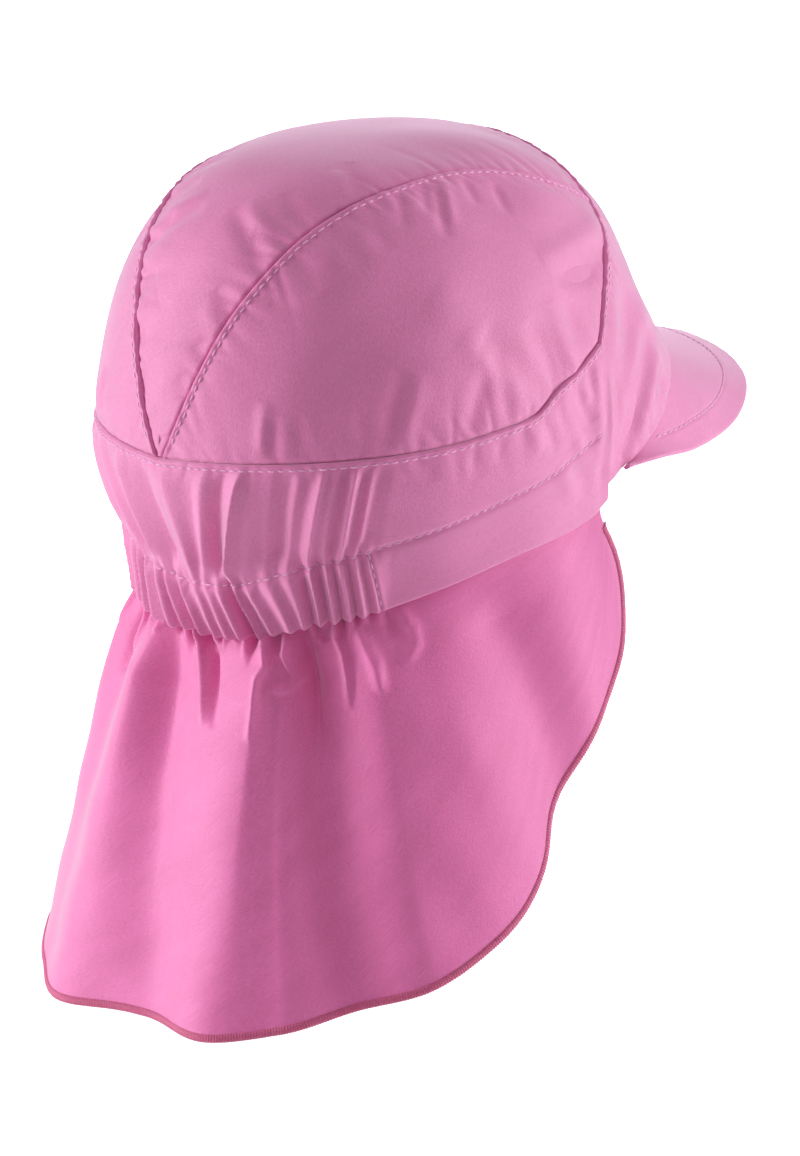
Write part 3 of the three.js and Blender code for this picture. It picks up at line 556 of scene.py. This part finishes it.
def turned_edge(off, line=TOPSTITCH):
    """The fold that stands over its neighbour at a seam, flat up to its topstitching."""
    raised = 0.5 * smooth((line + 0.9 - off) / 1.2) - 0.8 * np.exp(-((off / 0.3) ** 2))
    return raised - 0.3 * np.exp(-(((off - line) / 0.5) ** 2))


def creases(points, rows, on=skin):
    """Ridges and valleys along short lines, each fading out at its ends."""
    total = np.zeros(points.shape[:-1])
    for height, width, *path in rows:
        path = on(np.array(path, float))
        steps = length(np.diff(path, axis=0))
        done, best = 0, np.full(total.shape, 1e9)
        share = np.zeros(total.shape)
        for a, b, step in zip(path, path[1:], steps):
            t = np.clip((points - a) @ (b - a) / step**2, 0, 1)
            off = length(points - a - t[..., None] * (b - a))
            share = np.where(off < best, (done + t * step) / steps.sum(), share)
            best = np.minimum(best, off)
            done += step
        total += height * np.exp(-((best / width) ** 2)) * (4 * share * (1 - share)) ** 0.6
    return total


def on_band(path):
    """Points of the band's skin at rows of (degrees, height)."""
    return skin(chart_at(np.radians(path[:, 0]), path[:, 1]))


def front_creases(flat):
    """The folds at the temple, which the front panel and the band share."""
    right = on_right(flat)
    return creases(right, FRONT_CREASES) + creases(right, TEMPLE_CREASES, on_band)


def pleats(degrees, share, rows, places_at=(0, 1), heights_at=(0, 1), points_left=1):
    """A wave through crests and valleys in order.

    A row gives its degrees at the shares places_at, its heights at the shares heights_at,
    and how pointed it is, of which points_left is left.
    """
    n = len(places_at)
    at = [np.interp(share, places_at, row[:n]) for row in rows]
    height = [np.interp(share, heights_at, row[n:-1]) for row in rows]
    total = np.zeros(np.broadcast(degrees, share).shape)
    for k in range(len(rows) - 1):
        u = (degrees - at[k]) / (at[k + 1] - at[k])
        point = rows[k][-1] * (1 - u) - rows[k + 1][-1] * u
        rise = smooth(u) + 1.5 * points_left * u * (1 - u) * point
        total = np.where((u >= 0) & (u < 1), lerp(height[k], height[k + 1], rise), total)
    return total


# Grids of points


def grid_steps(outer, axis):
    """Millimetres run along an axis of a grid."""
    run = np.cumsum(length(np.diff(outer, axis=axis)), axis=axis)
    return np.concatenate([np.zeros_like(np.take(run, [0], axis=axis)), run], axis=axis)


def grid_normals(outer, like):
    """Unit normals of a grid, on the side that like points to."""
    normal = unit(np.cross(np.gradient(outer, axis=0), np.gradient(outer, axis=1)))
    return normal * np.where((normal * like).sum(-1) < 0, -1, 1)[..., None]


def crowded(count, share):
    """Steps from 0 to 1, closer together at both ends by a share."""
    even = np.linspace(0, 1, count)
    return lerp(even, smooth(even), share)


def column_turns(fine, coarse):
    """Turns from temple to temple, closer together where the cloth is gathered."""
    gathered = math.radians(50)
    half = np.linspace(0, gathered, fine + 1)
    half = np.concatenate([half, np.linspace(gathered, TEMPLE, coarse + 1)[1:]])
    return np.concatenate([-half[:0:-1], half])


def seam_line(outer, off, like, distance, from_last=False):
    """Points and normals of the line at a distance from the first or last edge of each row."""
    normals = grid_normals(outer, like)
    if from_last:
        off = off[:, -1:] - off[:, ::-1]
        outer, normals = outer[:, ::-1], normals[:, ::-1]
    points = [read_along(row, run, distance) for row, run in zip(outer, off)]
    ways = [read_along(row, run, distance) for row, run in zip(normals, off)]
    return np.array(points), unit(np.array(ways))


# Meshes


def mesh_object(name, points, faces, material, node, uv=None, rims=()):
    """A piece that rides the root, with sharp edges along its rims, which are rings of points."""
    mesh = bpy.data.meshes.new(name)
    mesh.from_pydata((points * MM).tolist(), [], faces)
    mesh.polygons.foreach_set("use_smooth", np.ones(len(mesh.polygons), bool))
    if uv is not None:
        corners = np.empty(len(mesh.loops), np.int32)
        mesh.loops.foreach_get("vertex_index", corners)
        mesh.uv_layers.new(name="cloth").data.foreach_set("uv", uv[corners].ravel())
    if rims:
        ends = np.empty(len(mesh.edges) * 2, np.int32)
        mesh.edges.foreach_get("vertices", ends)
        ends = np.sort(ends.reshape(-1, 2), axis=1)
        keys = ends[:, 0] * len(points) + ends[:, 1]
        sharp = np.zeros(len(mesh.edges), bool)
        for rim in rims:
            pairs = np.sort(np.stack([rim[:-1], rim[1:]], -1), axis=1)
            sharp |= np.isin(keys, pairs[:, 0] * len(points) + pairs[:, 1])
        marks = mesh.attributes.new("sharp_edge", "BOOLEAN", "EDGE")
        marks.data.foreach_set("value", sharp)
    mesh.materials.append(material)
    obj = bpy.data.objects.new(name, mesh)
    bpy.context.collection.objects.link(obj)
    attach(obj, "root")
    if node:
        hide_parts(node)
    return obj


def cloth_mesh(name, outer, inner, material, node):
    """A closed wall of cloth between two grids of points."""
    n, m = outer.shape[:2]
    points = np.concatenate([outer.reshape(-1, 3), inner.reshape(-1, 3)])
    index = np.arange(n * m).reshape(n, m)
    cells = np.stack([index[:-1, :-1], index[:-1, 1:], index[1:, 1:], index[1:, :-1]], -1)
    cells = cells.reshape(-1, 4)
    ring = np.concatenate([index[0], index[1:, -1], index[-1, -2::-1], index[-2::-1, 0]])
    rim = np.stack([ring[1:], ring[:-1], ring[:-1] + n * m, ring[1:] + n * m], -1)
    quads = np.concatenate([cells, cells[:, ::-1] + n * m, rim])
    a, b, c, d = (points[quads[:, k]] for k in range(4))
    if (np.cross(b - a, c - a) * a).sum() + (np.cross(c - a, d - a) * a).sum() < 0:
        quads = quads[:, ::-1]
    uv = np.stack([grid_steps(outer, 0), grid_steps(outer, 1)], -1).reshape(-1, 2)
    rims = [ring, ring + n * m]
    return mesh_object(
        name, points, quads.tolist(), material, node, np.tile(uv, (2, 1)), rims
    )


def tube_faces(index):
    """The sides and ends of tubes, from the numbers of their points by tube, ring and side."""
    following = np.roll(index, -1, axis=2)
    quads = [index[:, :-1], following[:, :-1], following[:, 1:], index[:, 1:]]
    quads = np.stack(quads, -1).reshape(-1, 4)
    return quads.tolist() + index[:, 0, ::-1].tolist() + index[:, -1].tolist()


def stitches(name, lines, pitch=3.0, size=2.25, thick=0.27):
    """Rows of stitches that rise from the cloth and dive back in. A line is points and normals."""
    rings, sides = 7, 6
    t = np.linspace(0, 1, rings)
    rise = thick * 1.1 * np.sin(math.pi * t) ** 0.6 - 0.12
    radius = thick * (0.45 + 0.55 * np.sin(math.pi * t) ** 0.5)
    angle = np.linspace(0, 2 * math.pi, sides, endpoint=False)[:, None]
    all_points, faces, count = [], [], 0
    for points, normals in lines:
        run = line_run(points)
        number = int(run[-1] / pitch)
        start = (np.arange(number) + 0.5) * run[-1] / number - size / 2
        at = start[:, None] + t * size
        lift = unit(read_along(normals, run, at))
        way = unit(read_along(points, run, at + 0.3) - read_along(points, run, at - 0.3))
        centre = read_along(points, run, at) + lift * rise[:, None]
        side = np.cross(way, lift)
        round_it = side[..., None, :] * np.cos(angle) + lift[..., None, :] * np.sin(angle)
        body = centre[..., None, :] + round_it * radius[:, None, None]
        index = count + np.arange(number * rings * sides).reshape(number, rings, sides)
        all_points.append(body.reshape(-1, 3))
        faces += tube_faces(index)
        count += index.size
    return mesh_object(name, np.concatenate(all_points), faces, STITCH, None)


# Materials


def cloth_material(name, colour, darker, bump=0.35, sheen=1.0):
    """Plain woven cotton: slubs along both threads in the colour and the relief."""
    mat = bpy.data.materials.new(name)
    mat.use_nodes = True
    nodes, links = mat.node_tree.nodes, mat.node_tree.links
    shader = nodes["Principled BSDF"]
    place = nodes.new("ShaderNodeUVMap")
    place.uv_map = "cloth"

    def noise(scale_u, scale_v, detail):
        shift = nodes.new("ShaderNodeMapping")
        shift.inputs["Scale"].default_value = (scale_u, scale_v, 1)
        links.new(place.outputs["UV"], shift.inputs["Vector"])
        tex = nodes.new("ShaderNodeTexNoise")
        tex.noise_dimensions = "2D"
        tex.inputs["Scale"].default_value = 1
        tex.inputs["Detail"].default_value = detail
        links.new(shift.outputs["Vector"], tex.inputs["Vector"])
        return tex.outputs[0]

    def maths(kind, a, b):
        node = nodes.new("ShaderNodeMath")
        node.operation = kind
        for socket, value in zip(node.inputs, (a, b)):
            if isinstance(value, (int, float)):
                socket.default_value = value
            else:
                links.new(value, socket)
        return node.outputs[0]

    threads = maths("ADD", noise(0.8, 2.4, 2), noise(2.4, 0.8, 2))
    patches = noise(0.045, 0.06, 3)
    tone = maths("ADD", maths("MULTIPLY", threads, 0.75), maths("MULTIPLY", patches, 0.5))
    ramp = nodes.new("ShaderNodeMapRange")
    ramp.inputs["From Min"].default_value = 0.65
    ramp.inputs["From Max"].default_value = 1.35
    links.new(tone, ramp.inputs["Value"])
    mix = nodes.new("ShaderNodeMix")
    mix.data_type = "RGBA"
    mix.inputs["A"].default_value = (*darker, 1)
    mix.inputs["B"].default_value = (*colour, 1)
    links.new(ramp.outputs["Result"], mix.inputs["Factor"])
    links.new(mix.outputs["Result"], shader.inputs["Base Color"])
    relief = nodes.new("ShaderNodeBump")
    relief.inputs["Strength"].default_value = bump
    relief.inputs["Distance"].default_value = 0.0002
    links.new(threads, relief.inputs["Height"])
    links.new(relief.outputs["Normal"], shader.inputs["Normal"])
    shader.inputs["Roughness"].default_value = 0.6
    shader.inputs["Specular IOR Level"].default_value = 0.7
    shader.inputs["Subsurface Weight"].default_value = 0.12
    shader.inputs["Subsurface Radius"].default_value = (1, 0.2, 0.5)
    shader.inputs["Subsurface Scale"].default_value = 0.001
    shader.inputs["Sheen Weight"].default_value = sheen
    shader.inputs["Sheen Roughness"].default_value = 0.45
    shader.inputs["Sheen Tint"].default_value = (1, 0.78, 0.95, 1)
    return mat


CROWN = cloth_material("crown_cotton", (0.77, 0.21, 0.47), (0.62, 0.145, 0.355))
FLAP = cloth_material("flap_cotton", (0.84, 0.175, 0.48), (0.67, 0.11, 0.34))
THREAD = cloth_material("edging_thread", (0.66, 0.1, 0.26), (0.5, 0.06, 0.17), bump=0.5, sheen=0.3)
STITCH = cloth_material("stitch_thread", (0.86, 0.45, 0.68), (0.78, 0.35, 0.6), bump=0.2, sheen=0.3)


# Crown


def top_seam(at):
    """Chart places along the seam from the tip at the back to the front corner."""
    tip = chart_at(np.array(TIP_HALF_WIDTH / HEAD_TO_BACK), band_top(0))
    return curve([tip, *TOP_SEAM], at)


def front_seam(at):
    """Chart places along the seam from the band at the temple up to the same corner."""
    start = chart_at(TEMPLE, band_top(TEMPLE))
    return curve([start, *FRONT_SEAM], at)


def side_panel(side):
    """A side panel: along its seams from the tip at the back, then from the upper seam down."""
    along, across = np.linspace(0.006, 0.994, SIDE_GRID[0]), crowded(SIDE_GRID[1], 0.78)
    upper = top_seam(along)
    split = 20 / 29  # share of the lower edge that lies on the band
    turn = TEMPLE * np.minimum(along / split, 1)
    front = front_seam(np.clip((along - split) / (1 - split), 0, 1))
    lower = np.where(along[:, None] < split, chart_at(turn, band_top(turn)), front)
    places = lerp(upper[:, None], lower[:, None], across[:, None])
    flat = skin(places)
    run = grid_steps(flat, 1)
    off_top, off_low = run, run[:, -1:] - run
    along_top, along_low = grid_steps(flat[:, :1], 0), grid_steps(flat[:, -1:], 0)
    relief = turned_edge(off_top) + sunk_edge(off_low) + creases(flat, SIDE_CREASES)
    relief += puckers(
        along_top, off_top, seed=11 + side, depth=0.32, reach=8, spacing=4.4,
        strength=SIDE_TOP_STRENGTH,
    )
    relief += puckers(
        along_low, off_low, seed=23 + side, depth=0.3, reach=8, spacing=5,
        strength=SIDE_LOW_STRENGTH,
    )
    if side < 0:
        places = places * [-1, 1]
        flat = flat * [-1, 1, 1]
    soft = wobble(flat, seed=5 + side, size=46, depth=0.45)
    relief += soft * smooth(off_top / 12) * smooth(off_low / 12)
    return places, relief, run


def top_panel():
    """Along the two seams from the back, and across from the wearer's right to the left."""
    along, across = np.linspace(0.004, 1, TOP_GRID[0]), np.linspace(-1, 1, TOP_GRID[1])
    across = np.sin(across * math.pi / 2) * 0.75 + across * 0.25
    edge = top_seam(along)[:, None]
    front = curve(TOP_EDGE, 1 - abs(across))
    near = smooth((along - TOP_BEND_START) / (1 - TOP_BEND_START))[:, None]
    on_front = np.sign(across) * front[:, 0] / CORNER[0]
    x = edge[..., 0] * lerp(-across, -on_front, near)
    y = edge[..., 1] + (front[:, 1] - CORNER[1]) * near
    places = np.stack([x, y], -1)
    flat = skin(places)
    run, down = grid_steps(flat, 1), grid_steps(flat, 0)
    off = np.minimum(run, run[:, -1:] - run)
    off_front = down[-1:] - down
    right = (across < 0)[None, :]
    relief = sunk_edge(off) + sunk_edge(off_front) + creases(on_right(flat), TOP_CREASES)
    for k, mine in ((0, right), (-1, ~right)):
        relief += mine * puckers(
            down[:, [k]], off, seed=31 + k, depth=0.36, reach=9, spacing=4.4, strength=TOP_STRENGTH
        )
    relief += puckers(run[-1:], off_front, seed=41, depth=0.4, reach=8, spacing=4.2)
    soft = wobble(flat, seed=9, size=50, depth=0.5)
    relief += soft * smooth(off / 14) * smooth(off_front / 14)
    return places, relief, run


def front_panel():
    """Across from the wearer's right to the left, and up from the brim's seam."""
    middle = SEAM_CELLS + EDGE_CELLS
    cells = np.linspace(0, 2 * middle, FRONT_GRID[0])
    up = crowded(FRONT_GRID[1], 0.7)
    cell = middle - abs(middle - cells)
    turn = np.interp(cell, [0, 1, middle], [TEMPLE, math.radians(BRIM_END_TURN), math.pi])
    side = front_seam(np.clip(cell / SEAM_CELLS, 0, 1))
    edge = curve(TOP_EDGE, np.clip((cell - SEAM_CELLS) / EDGE_CELLS, 0, 1))
    top = np.where(cell[:, None] < SEAM_CELLS, side, edge)
    low_out = length(chart_at(turn, brim_seam(turn)))
    top_turn = np.arctan2(top[:, 0], top[:, 1])
    turns = lerp(turn[:, None], top_turn[:, None], up)
    places = chart(turns, lerp(low_out[:, None], length(top)[:, None], up))
    places[..., 0] *= np.where(cells > middle, -1, 1)[:, None]
    flat = skin(places)
    run, across = grid_steps(flat, 1), grid_steps(flat, 0)
    off_low, off_top = run, run[:, -1:] - run
    inside = smooth(np.minimum(across, across[-1:] - across) / 8)
    relief = front_creases(flat) + turned_edge(off_top) + 0.4 * sunk_edge(off_low)
    low, high = across[:, [0]], across[:, [-1]]
    relief += inside * puckers(low, off_low, seed=51, depth=0.35, reach=9, spacing=5)
    relief += inside * puckers(high, off_top, seed=52, depth=0.45, reach=9, spacing=4.5)
    soft = wobble(flat, seed=53, size=40, depth=0.4)
    relief += soft * smooth(off_low / 12) * smooth(off_top / 12) * inside
    return places, relief, run


def crown():
    panels = {
        "side_panel_right": side_panel(1),
        "side_panel_left": side_panel(-1),
        "top_panel": top_panel(),
        "front_panel": front_panel(),
    }
    lines = []
    for name, (places, relief, run) in panels.items():
        way = outward(places)
        outer = skin(places) + way * relief[..., None]
        cloth_mesh(name + "_cloth", outer, skin(places) - way * CLOTH, CROWN, name)
        if name.startswith("side"):
            points, ways = seam_line(outer, run, way, TOPSTITCH)
            lines.append((points[8:-6], ways[8:-6]))
        if name == "front_panel":
            lines.append(seam_line(outer, run, way, TOPSTITCH, from_last=True))
    stitches("crown_stitches", lines)


# Band and casing


def gather_wave(turn, z):
    share = np.clip((casing_top(turn) - z) / (casing_top(turn) - band_bottom(turn)), 0, 1)
    return GATHER_SCALE * pleats(np.degrees(turn), share, GATHERS)


def band_relief(turn, z):
    degrees = np.degrees(turn)
    top, stitch, bottom = band_top(turn), casing_top(turn), band_bottom(turn)
    share = (top - z) / (top - stitch)
    folds = BAND_FOLD_SCALE * pleats(degrees, np.clip(share, 0, 1), BAND_PLEATS)
    into_gathers = smooth((share - 0.78) * 4.5)
    above = lerp(folds * smooth(share * 5), gather_wave(turn, stitch) * 0.6, into_gathers)
    down = (stitch - z) / (stitch - bottom)
    held = 0.6 + 0.4 * smooth(down * 4)
    relief = np.where(share < 1, above, gather_wave(turn, z) * held)
    in_elastic = smooth((50 - abs(degrees)) / 4)
    relief += 0.9 * in_elastic * np.sin(math.pi * np.clip(down, 0, 1)) ** 0.7
    sewn = smooth((108 - abs(degrees)) / 2)
    relief -= 0.5 * sewn * np.exp(-(((z - stitch) / 0.7) ** 2))  # the stitch line's groove
    past_end = (abs(degrees) - lerp(*ELASTIC_END, np.clip(down, 0, 1))) * 1.5
    relief -= 1.1 * np.exp(-((past_end / 0.7) ** 2)) * (down > 0)  # where the elastic is sewn in
    return relief + 0.25 * sewn * smooth(down * 8)


def band():
    turns = column_turns(*BAND_COLUMNS)
    top, stitch, bottom = band_top(turns), casing_top(turns), band_bottom(turns)
    rows_above, rows_below = BAND_ROWS
    above = lerp(top, stitch, crowded(rows_above, 0.4)[:, None])
    z = np.concatenate([above, lerp(stitch, bottom, crowded(rows_below, 0.4)[1:, None])])
    turn = np.broadcast_to(turns, z.shape)
    places = chart_at(turn, z)
    way, flat = outward(places), skin(places)
    off, across = grid_steps(flat, 0), grid_steps(flat, 1)
    along = across[:1]
    inside = smooth(np.minimum(across, across[:, -1:] - across) / 8)
    relief = band_relief(turn, z) + turned_edge(off, BAND_TOPSTITCH) + front_creases(flat)
    relief += inside * puckers(along, off, seed=61, depth=0.3, reach=7, spacing=4.4)
    fine = puckers(along, abs(z - stitch), seed=62, depth=0.35, reach=4, spacing=3.2)
    relief += fine * smooth((52 - abs(np.degrees(turn))) / 5)
    relief += wobble(flat, seed=63, size=34, depth=0.3) * smooth(off / 8) * inside
    down = smooth((stitch - z) / (stitch - bottom))
    lowered = down * gather_wave(turns, bottom) * 0.15
    outer = flat + way * relief[..., None] - [0, 0, 1] * lowered[..., None]
    to_edge = (off[-1:] - off) / (CASING_THICKNESS / 2)
    thick = np.where(z < stitch, CASING_THICKNESS, CLOTH)
    rounded = CASING_THICKNESS * np.sqrt(np.clip(1 - (1 - to_edge) ** 2, 0.01, 1))
    thick = np.where(to_edge < 1, rounded, thick)
    outer -= way * ((CASING_THICKNESS - thick) * (to_edge < 1) * 0.5)[..., None]
    cloth_mesh("band_cloth", outer, outer - way * thick[..., None], CROWN, "band")
    columns, their_way = outer.transpose(1, 0, 2), way.transpose(1, 0, 2)
    seam = seam_line(columns, off.T, their_way, BAND_TOPSTITCH)
    sewn = abs(np.degrees(turns)) < 107.5
    row = rows_above - 1
    lines = [seam, (outer[row][sewn], grid_normals(outer, way)[row][sewn])]
    for side in (-1, 1):
        t = np.linspace(0, 1, 30)
        turn = side * np.radians(lerp(*ELASTIC_END, t))
        z = lerp(casing_top(turn), band_bottom(turn) + 1.5, t)
        place = chart_at(turn, z)
        points = skin(place) + outward(place) * band_relief(turn, z)[..., None]
        lines.append((points, outward(place)))
    stitches("band_stitches", lines)


# Flap


def flap_smooth(turn, z):
    """The flap without its folds: a spreading cone, tucked in behind the casing."""
    edge = band_bottom(turn)
    rim = skin(chart_at(turn, edge))
    from_front = FLAP_FRONT_TURN - abs(np.degrees(turn))
    near_back = smooth(from_front / (FLAP_FRONT_TURN - FLAP_BACK_TURN))
    spread = lerp(FLAP_SPREAD_FRONT, FLAP_SPREAD_BACK, near_back)
    behind = FLAP_BEHIND * (1 - smooth((edge - z) / FLAP_RETURN))
    return point_at(turn, length(rim[..., :2]) + spread * (edge - z) - behind, z)


def on_flap(path):
    """Points of the smooth flap at rows of (degrees, height)."""
    return flap_smooth(np.radians(path[:, 0]), path[:, 1])


def flap_folds(turn, z):
    drop = band_bottom(turn) - z
    share = drop / (FLAP_LEVEL - BAND_HEIGHT)
    places_at, heights_at, points_left = (0, 0.28, 1), (0, 0.15, 1), 1 - smooth(share * 3.2)
    folds = pleats(np.degrees(turn), share, FLAP_PLEATS, places_at, heights_at, points_left)
    pinch = 1 - smooth(drop / (8 + 6 * np.sin(turn * 23) * np.sin(turn * 9.4)))
    return folds + 0.8 * pinch * gather_wave(turn, band_bottom(turn))


def flap_point(turn, z):
    flat = flap_smooth(turn, z)
    relief = flap_folds(turn, z) + FLAP_CREASE_SCALE * creases(flat, FLAP_CREASES, on_flap)
    return flat + outward_flat(flat) * relief[..., None]


def flap():
    turns = column_turns(*FLAP_COLUMNS)
    corner = band_bottom(TEMPLE)
    reach = math.radians(FLAP_HALF_TURN) * HEAD_TO_BACK
    edge = [(share * reach, lerp(corner, -FLAP_LEVEL, drop)) for share, drop in FLAP_EDGE]
    end = curve(edge, (abs(turns) / TEMPLE) ** COLUMN_FAN)
    sag = np.sin(math.pi * np.clip(-turns / math.radians(LEFT_SAG_TURN), 0, 1)) ** 2
    edge_turn = np.sign(turns) * end[:, 0] / HEAD_TO_BACK
    edge_z = end[:, 1] - LEFT_SAG * sag
    fine, coarse = FLAP_ROWS
    down = np.concatenate([np.linspace(0, 0.25, fine), np.linspace(0.25, 1, coarse)[1:]])[:, None]
    top = band_bottom(turns)
    hanging = flap_point(lerp(turns, edge_turn, down), lerp(top, edge_z, down))
    soft = wobble(hanging, seed=71, size=30, depth=0.35) * smooth(down * 5)
    hanging = hanging + outward_flat(hanging) * soft[..., None]
    place = chart_at(turns, top + FLAP_TUCK)
    behind_casing = band_relief(turns, top + FLAP_TUCK) - 3.1
    tucked = skin(place) + outward(place) * behind_casing[:, None]
    outer = np.concatenate([tucked[None], hanging])
    inner = outer - outward_flat(outer) * FLAP_CLOTH
    sheet = cloth_mesh("neck_flap_cloth", outer, inner, FLAP, "neck_flap")
    rim = edging(outer[-1], outer[-8])


def edging(edge, inside):
    """Overlocked thread round the free edge: a flat tube with slanting ridges."""
    run, end_gap, step, sides, ridge_pitch = line_run(edge), 2.2, 0.22, 9, 0.85
    at = np.linspace(end_gap, run[-1] - end_gap, int(run[-1] / step))
    centre = read_along(edge, run, at)
    way = unit(np.gradient(centre, axis=0))
    into = unit(read_along(inside, run, at) - centre)
    lift = unit(np.cross(way, into))
    into = np.cross(lift, way)
    out_of_head = np.sign((lift * outward_flat(centre)).sum(-1))
    centre = centre + into * 0.5 - lift * 0.4 * out_of_head[:, None]
    angle = np.linspace(0, 2 * math.pi, sides, endpoint=False)
    ridge = 0.13 * np.sin(2 * math.pi * at[:, None] / ridge_pitch + angle * 0.6)
    wide, high = np.cos(angle) * (1.35 + ridge), np.sin(angle) * (0.85 + ridge)
    rings = centre[:, None] + into[:, None] * wide[..., None] + lift[:, None] * high[..., None]
    faces = tube_faces(np.arange(wide.size).reshape(1, *wide.shape))
    uv = np.stack(np.broadcast_arrays(at[:, None], angle), -1).reshape(-1, 2)
    name, node, slot = "flap_edging_thread", "flap_edging", "edging_thread"
    return mesh_object(name, rings.reshape(-1, 3), faces, THREAD, node, uv)


# Brim


def mirrored(half):
    """Half of a line and its mirror image, which meet at the middle."""
    return np.concatenate([half, half[-2::-1] * [-1, 1, 1]])


def brim():
    columns, rows = BRIM_GRID
    turn = np.linspace(math.radians(BRIM_END_TURN), math.pi, columns)
    place = chart_at(turn, brim_seam(turn) - 0.3)
    root = skin(place) - outward(place) * CLOTH
    share = np.linspace(1, 0, columns)
    angle = share * math.pi / 2
    end, power = root[0], 2 / BRIM_SQUARENESS
    reach = end[1] - root[-1][1] + BRIM_LENGTH
    edge = np.stack([
        (end[0] - BRIM_SIDE_REACH) * np.sin(angle) ** power,
        end[1] - reach * np.maximum(np.cos(angle), 0) ** power,
        BRIM_ARCH * table(BRIM_EDGE, share) - BRIM_EDGE_DROP,
    ], -1)
    root, edge = mirrored(root), mirrored(edge)
    across = np.linspace(0, 1, rows)
    across = lerp(across, 1 - (1 - across) ** 2, 0.6)
    top = lerp(root[:, None], edge[:, None], across[:, None])
    up = grid_normals(top, np.array([0, 0, 1.0]))
    run = grid_steps(top, 1)
    off = run[:, -1:] - run
    column = np.arange(len(root))
    from_end = smooth(np.minimum(column, column[::-1]) / 34)[:, None]
    full = lerp(BRIM_END_THICKNESS, BRIM_THICKNESS, from_end)
    thick = full * np.sqrt(np.clip(1 - np.clip(1 - off / 1.6, 0, 1) ** 2, 0.02, 1))
    relief = -0.5 * (full - thick)
    relief += -0.3 * np.exp(-(((off - BRIM_TOPSTITCH) / 0.8) ** 2)) * (run > 4)
    along = line_run(edge)[:, None]
    relief += puckers(along, off, seed=81, depth=0.12, reach=6, spacing=4)
    outer = top + up * relief[..., None]
    cloth_mesh("brim_cloth", outer, outer - up * thick[..., None], CROWN, "brim")
    keep = run[:, -1] > BRIM_TOPSTITCH + 1.5
    line = seam_line(outer[keep], run[keep], up[keep], BRIM_TOPSTITCH, from_last=True)
    stitches("brim_stitches", [line])


# Studio


def aim(obj, place, target):
    obj.location = place
    obj.rotation_euler = (target - obj.location).to_track_quat("-Z", "Y").to_euler()


def lamp(name, place, size, power, target=Vector((0, 0, -0.03))):
    light = bpy.data.lights.new(name, "AREA")
    light.shape = "RECTANGLE"
    light.size, light.size_y = size
    light.energy = power
    obj = bpy.data.objects.new(name, light)
    bpy.context.collection.objects.link(obj)
    aim(obj, place, target)


def studio():
    """The photo's viewing angle, a soft lamp on each side, and a lit pale floor and background."""
    azimuth, rise = math.radians(225), math.radians(13)
    level = math.cos(rise)
    back = Vector((math.sin(azimuth) * level, -math.cos(azimuth) * level, math.sin(rise)))
    right = Vector((math.cos(azimuth), math.sin(azimuth), 0))
    up = back.cross(right)
    data = bpy.data.cameras.new("camera")
    data.lens = 154.15
    data.sensor_width = 36
    camera = bpy.data.objects.new("camera", data)
    bpy.context.collection.objects.link(camera)
    bpy.context.scene.camera = camera
    aim(camera, back * 1.5, right * 0.00888 - up * 0.04976)

    lamp("left_softbox", -right * 1.3 + back * 0.1 + up * 0.15, (0.6, 1.1), 16)
    lamp("right_softbox", right * 1.3 + up * 0.15, (0.6, 1.1), 15)
    lamp("top_softbox", up * 1.1 + back * 0.8, (0.6, 1.1), 2.5)
    lamp("floor_lamp", Vector((2.4, -2.4, 0.1)), (4, 4), 160, Vector((2.4, -2.4, FLOOR)))

    world = bpy.data.worlds.new("studio")
    bpy.context.scene.world = world
    world.use_nodes = True
    background = world.node_tree.nodes["Background"]
    background.inputs["Color"].default_value = (1, 1, 1, 1)
    background.inputs["Strength"].default_value = 0.31

    bpy.ops.mesh.primitive_plane_add(size=30, location=(0, 0, FLOOR))
    floor = bpy.context.object
    floor.name = "floor"
    mat = bpy.data.materials.new("floor_paint")
    mat.use_nodes = True
    shader = mat.node_tree.nodes["Principled BSDF"]
    shader.inputs["Base Color"].default_value = (0.93, 0.93, 0.93, 1)
    shader.inputs["Roughness"].default_value = 0.9
    shader.inputs["Emission Color"].default_value = (1, 1, 1, 1)
    shader.inputs["Emission Strength"].default_value = 0.05
    floor.data.materials.append(mat)
    bpy.context.scene.view_settings.view_transform = "Standard"


crown()
band()
flap()
brim()
studio()
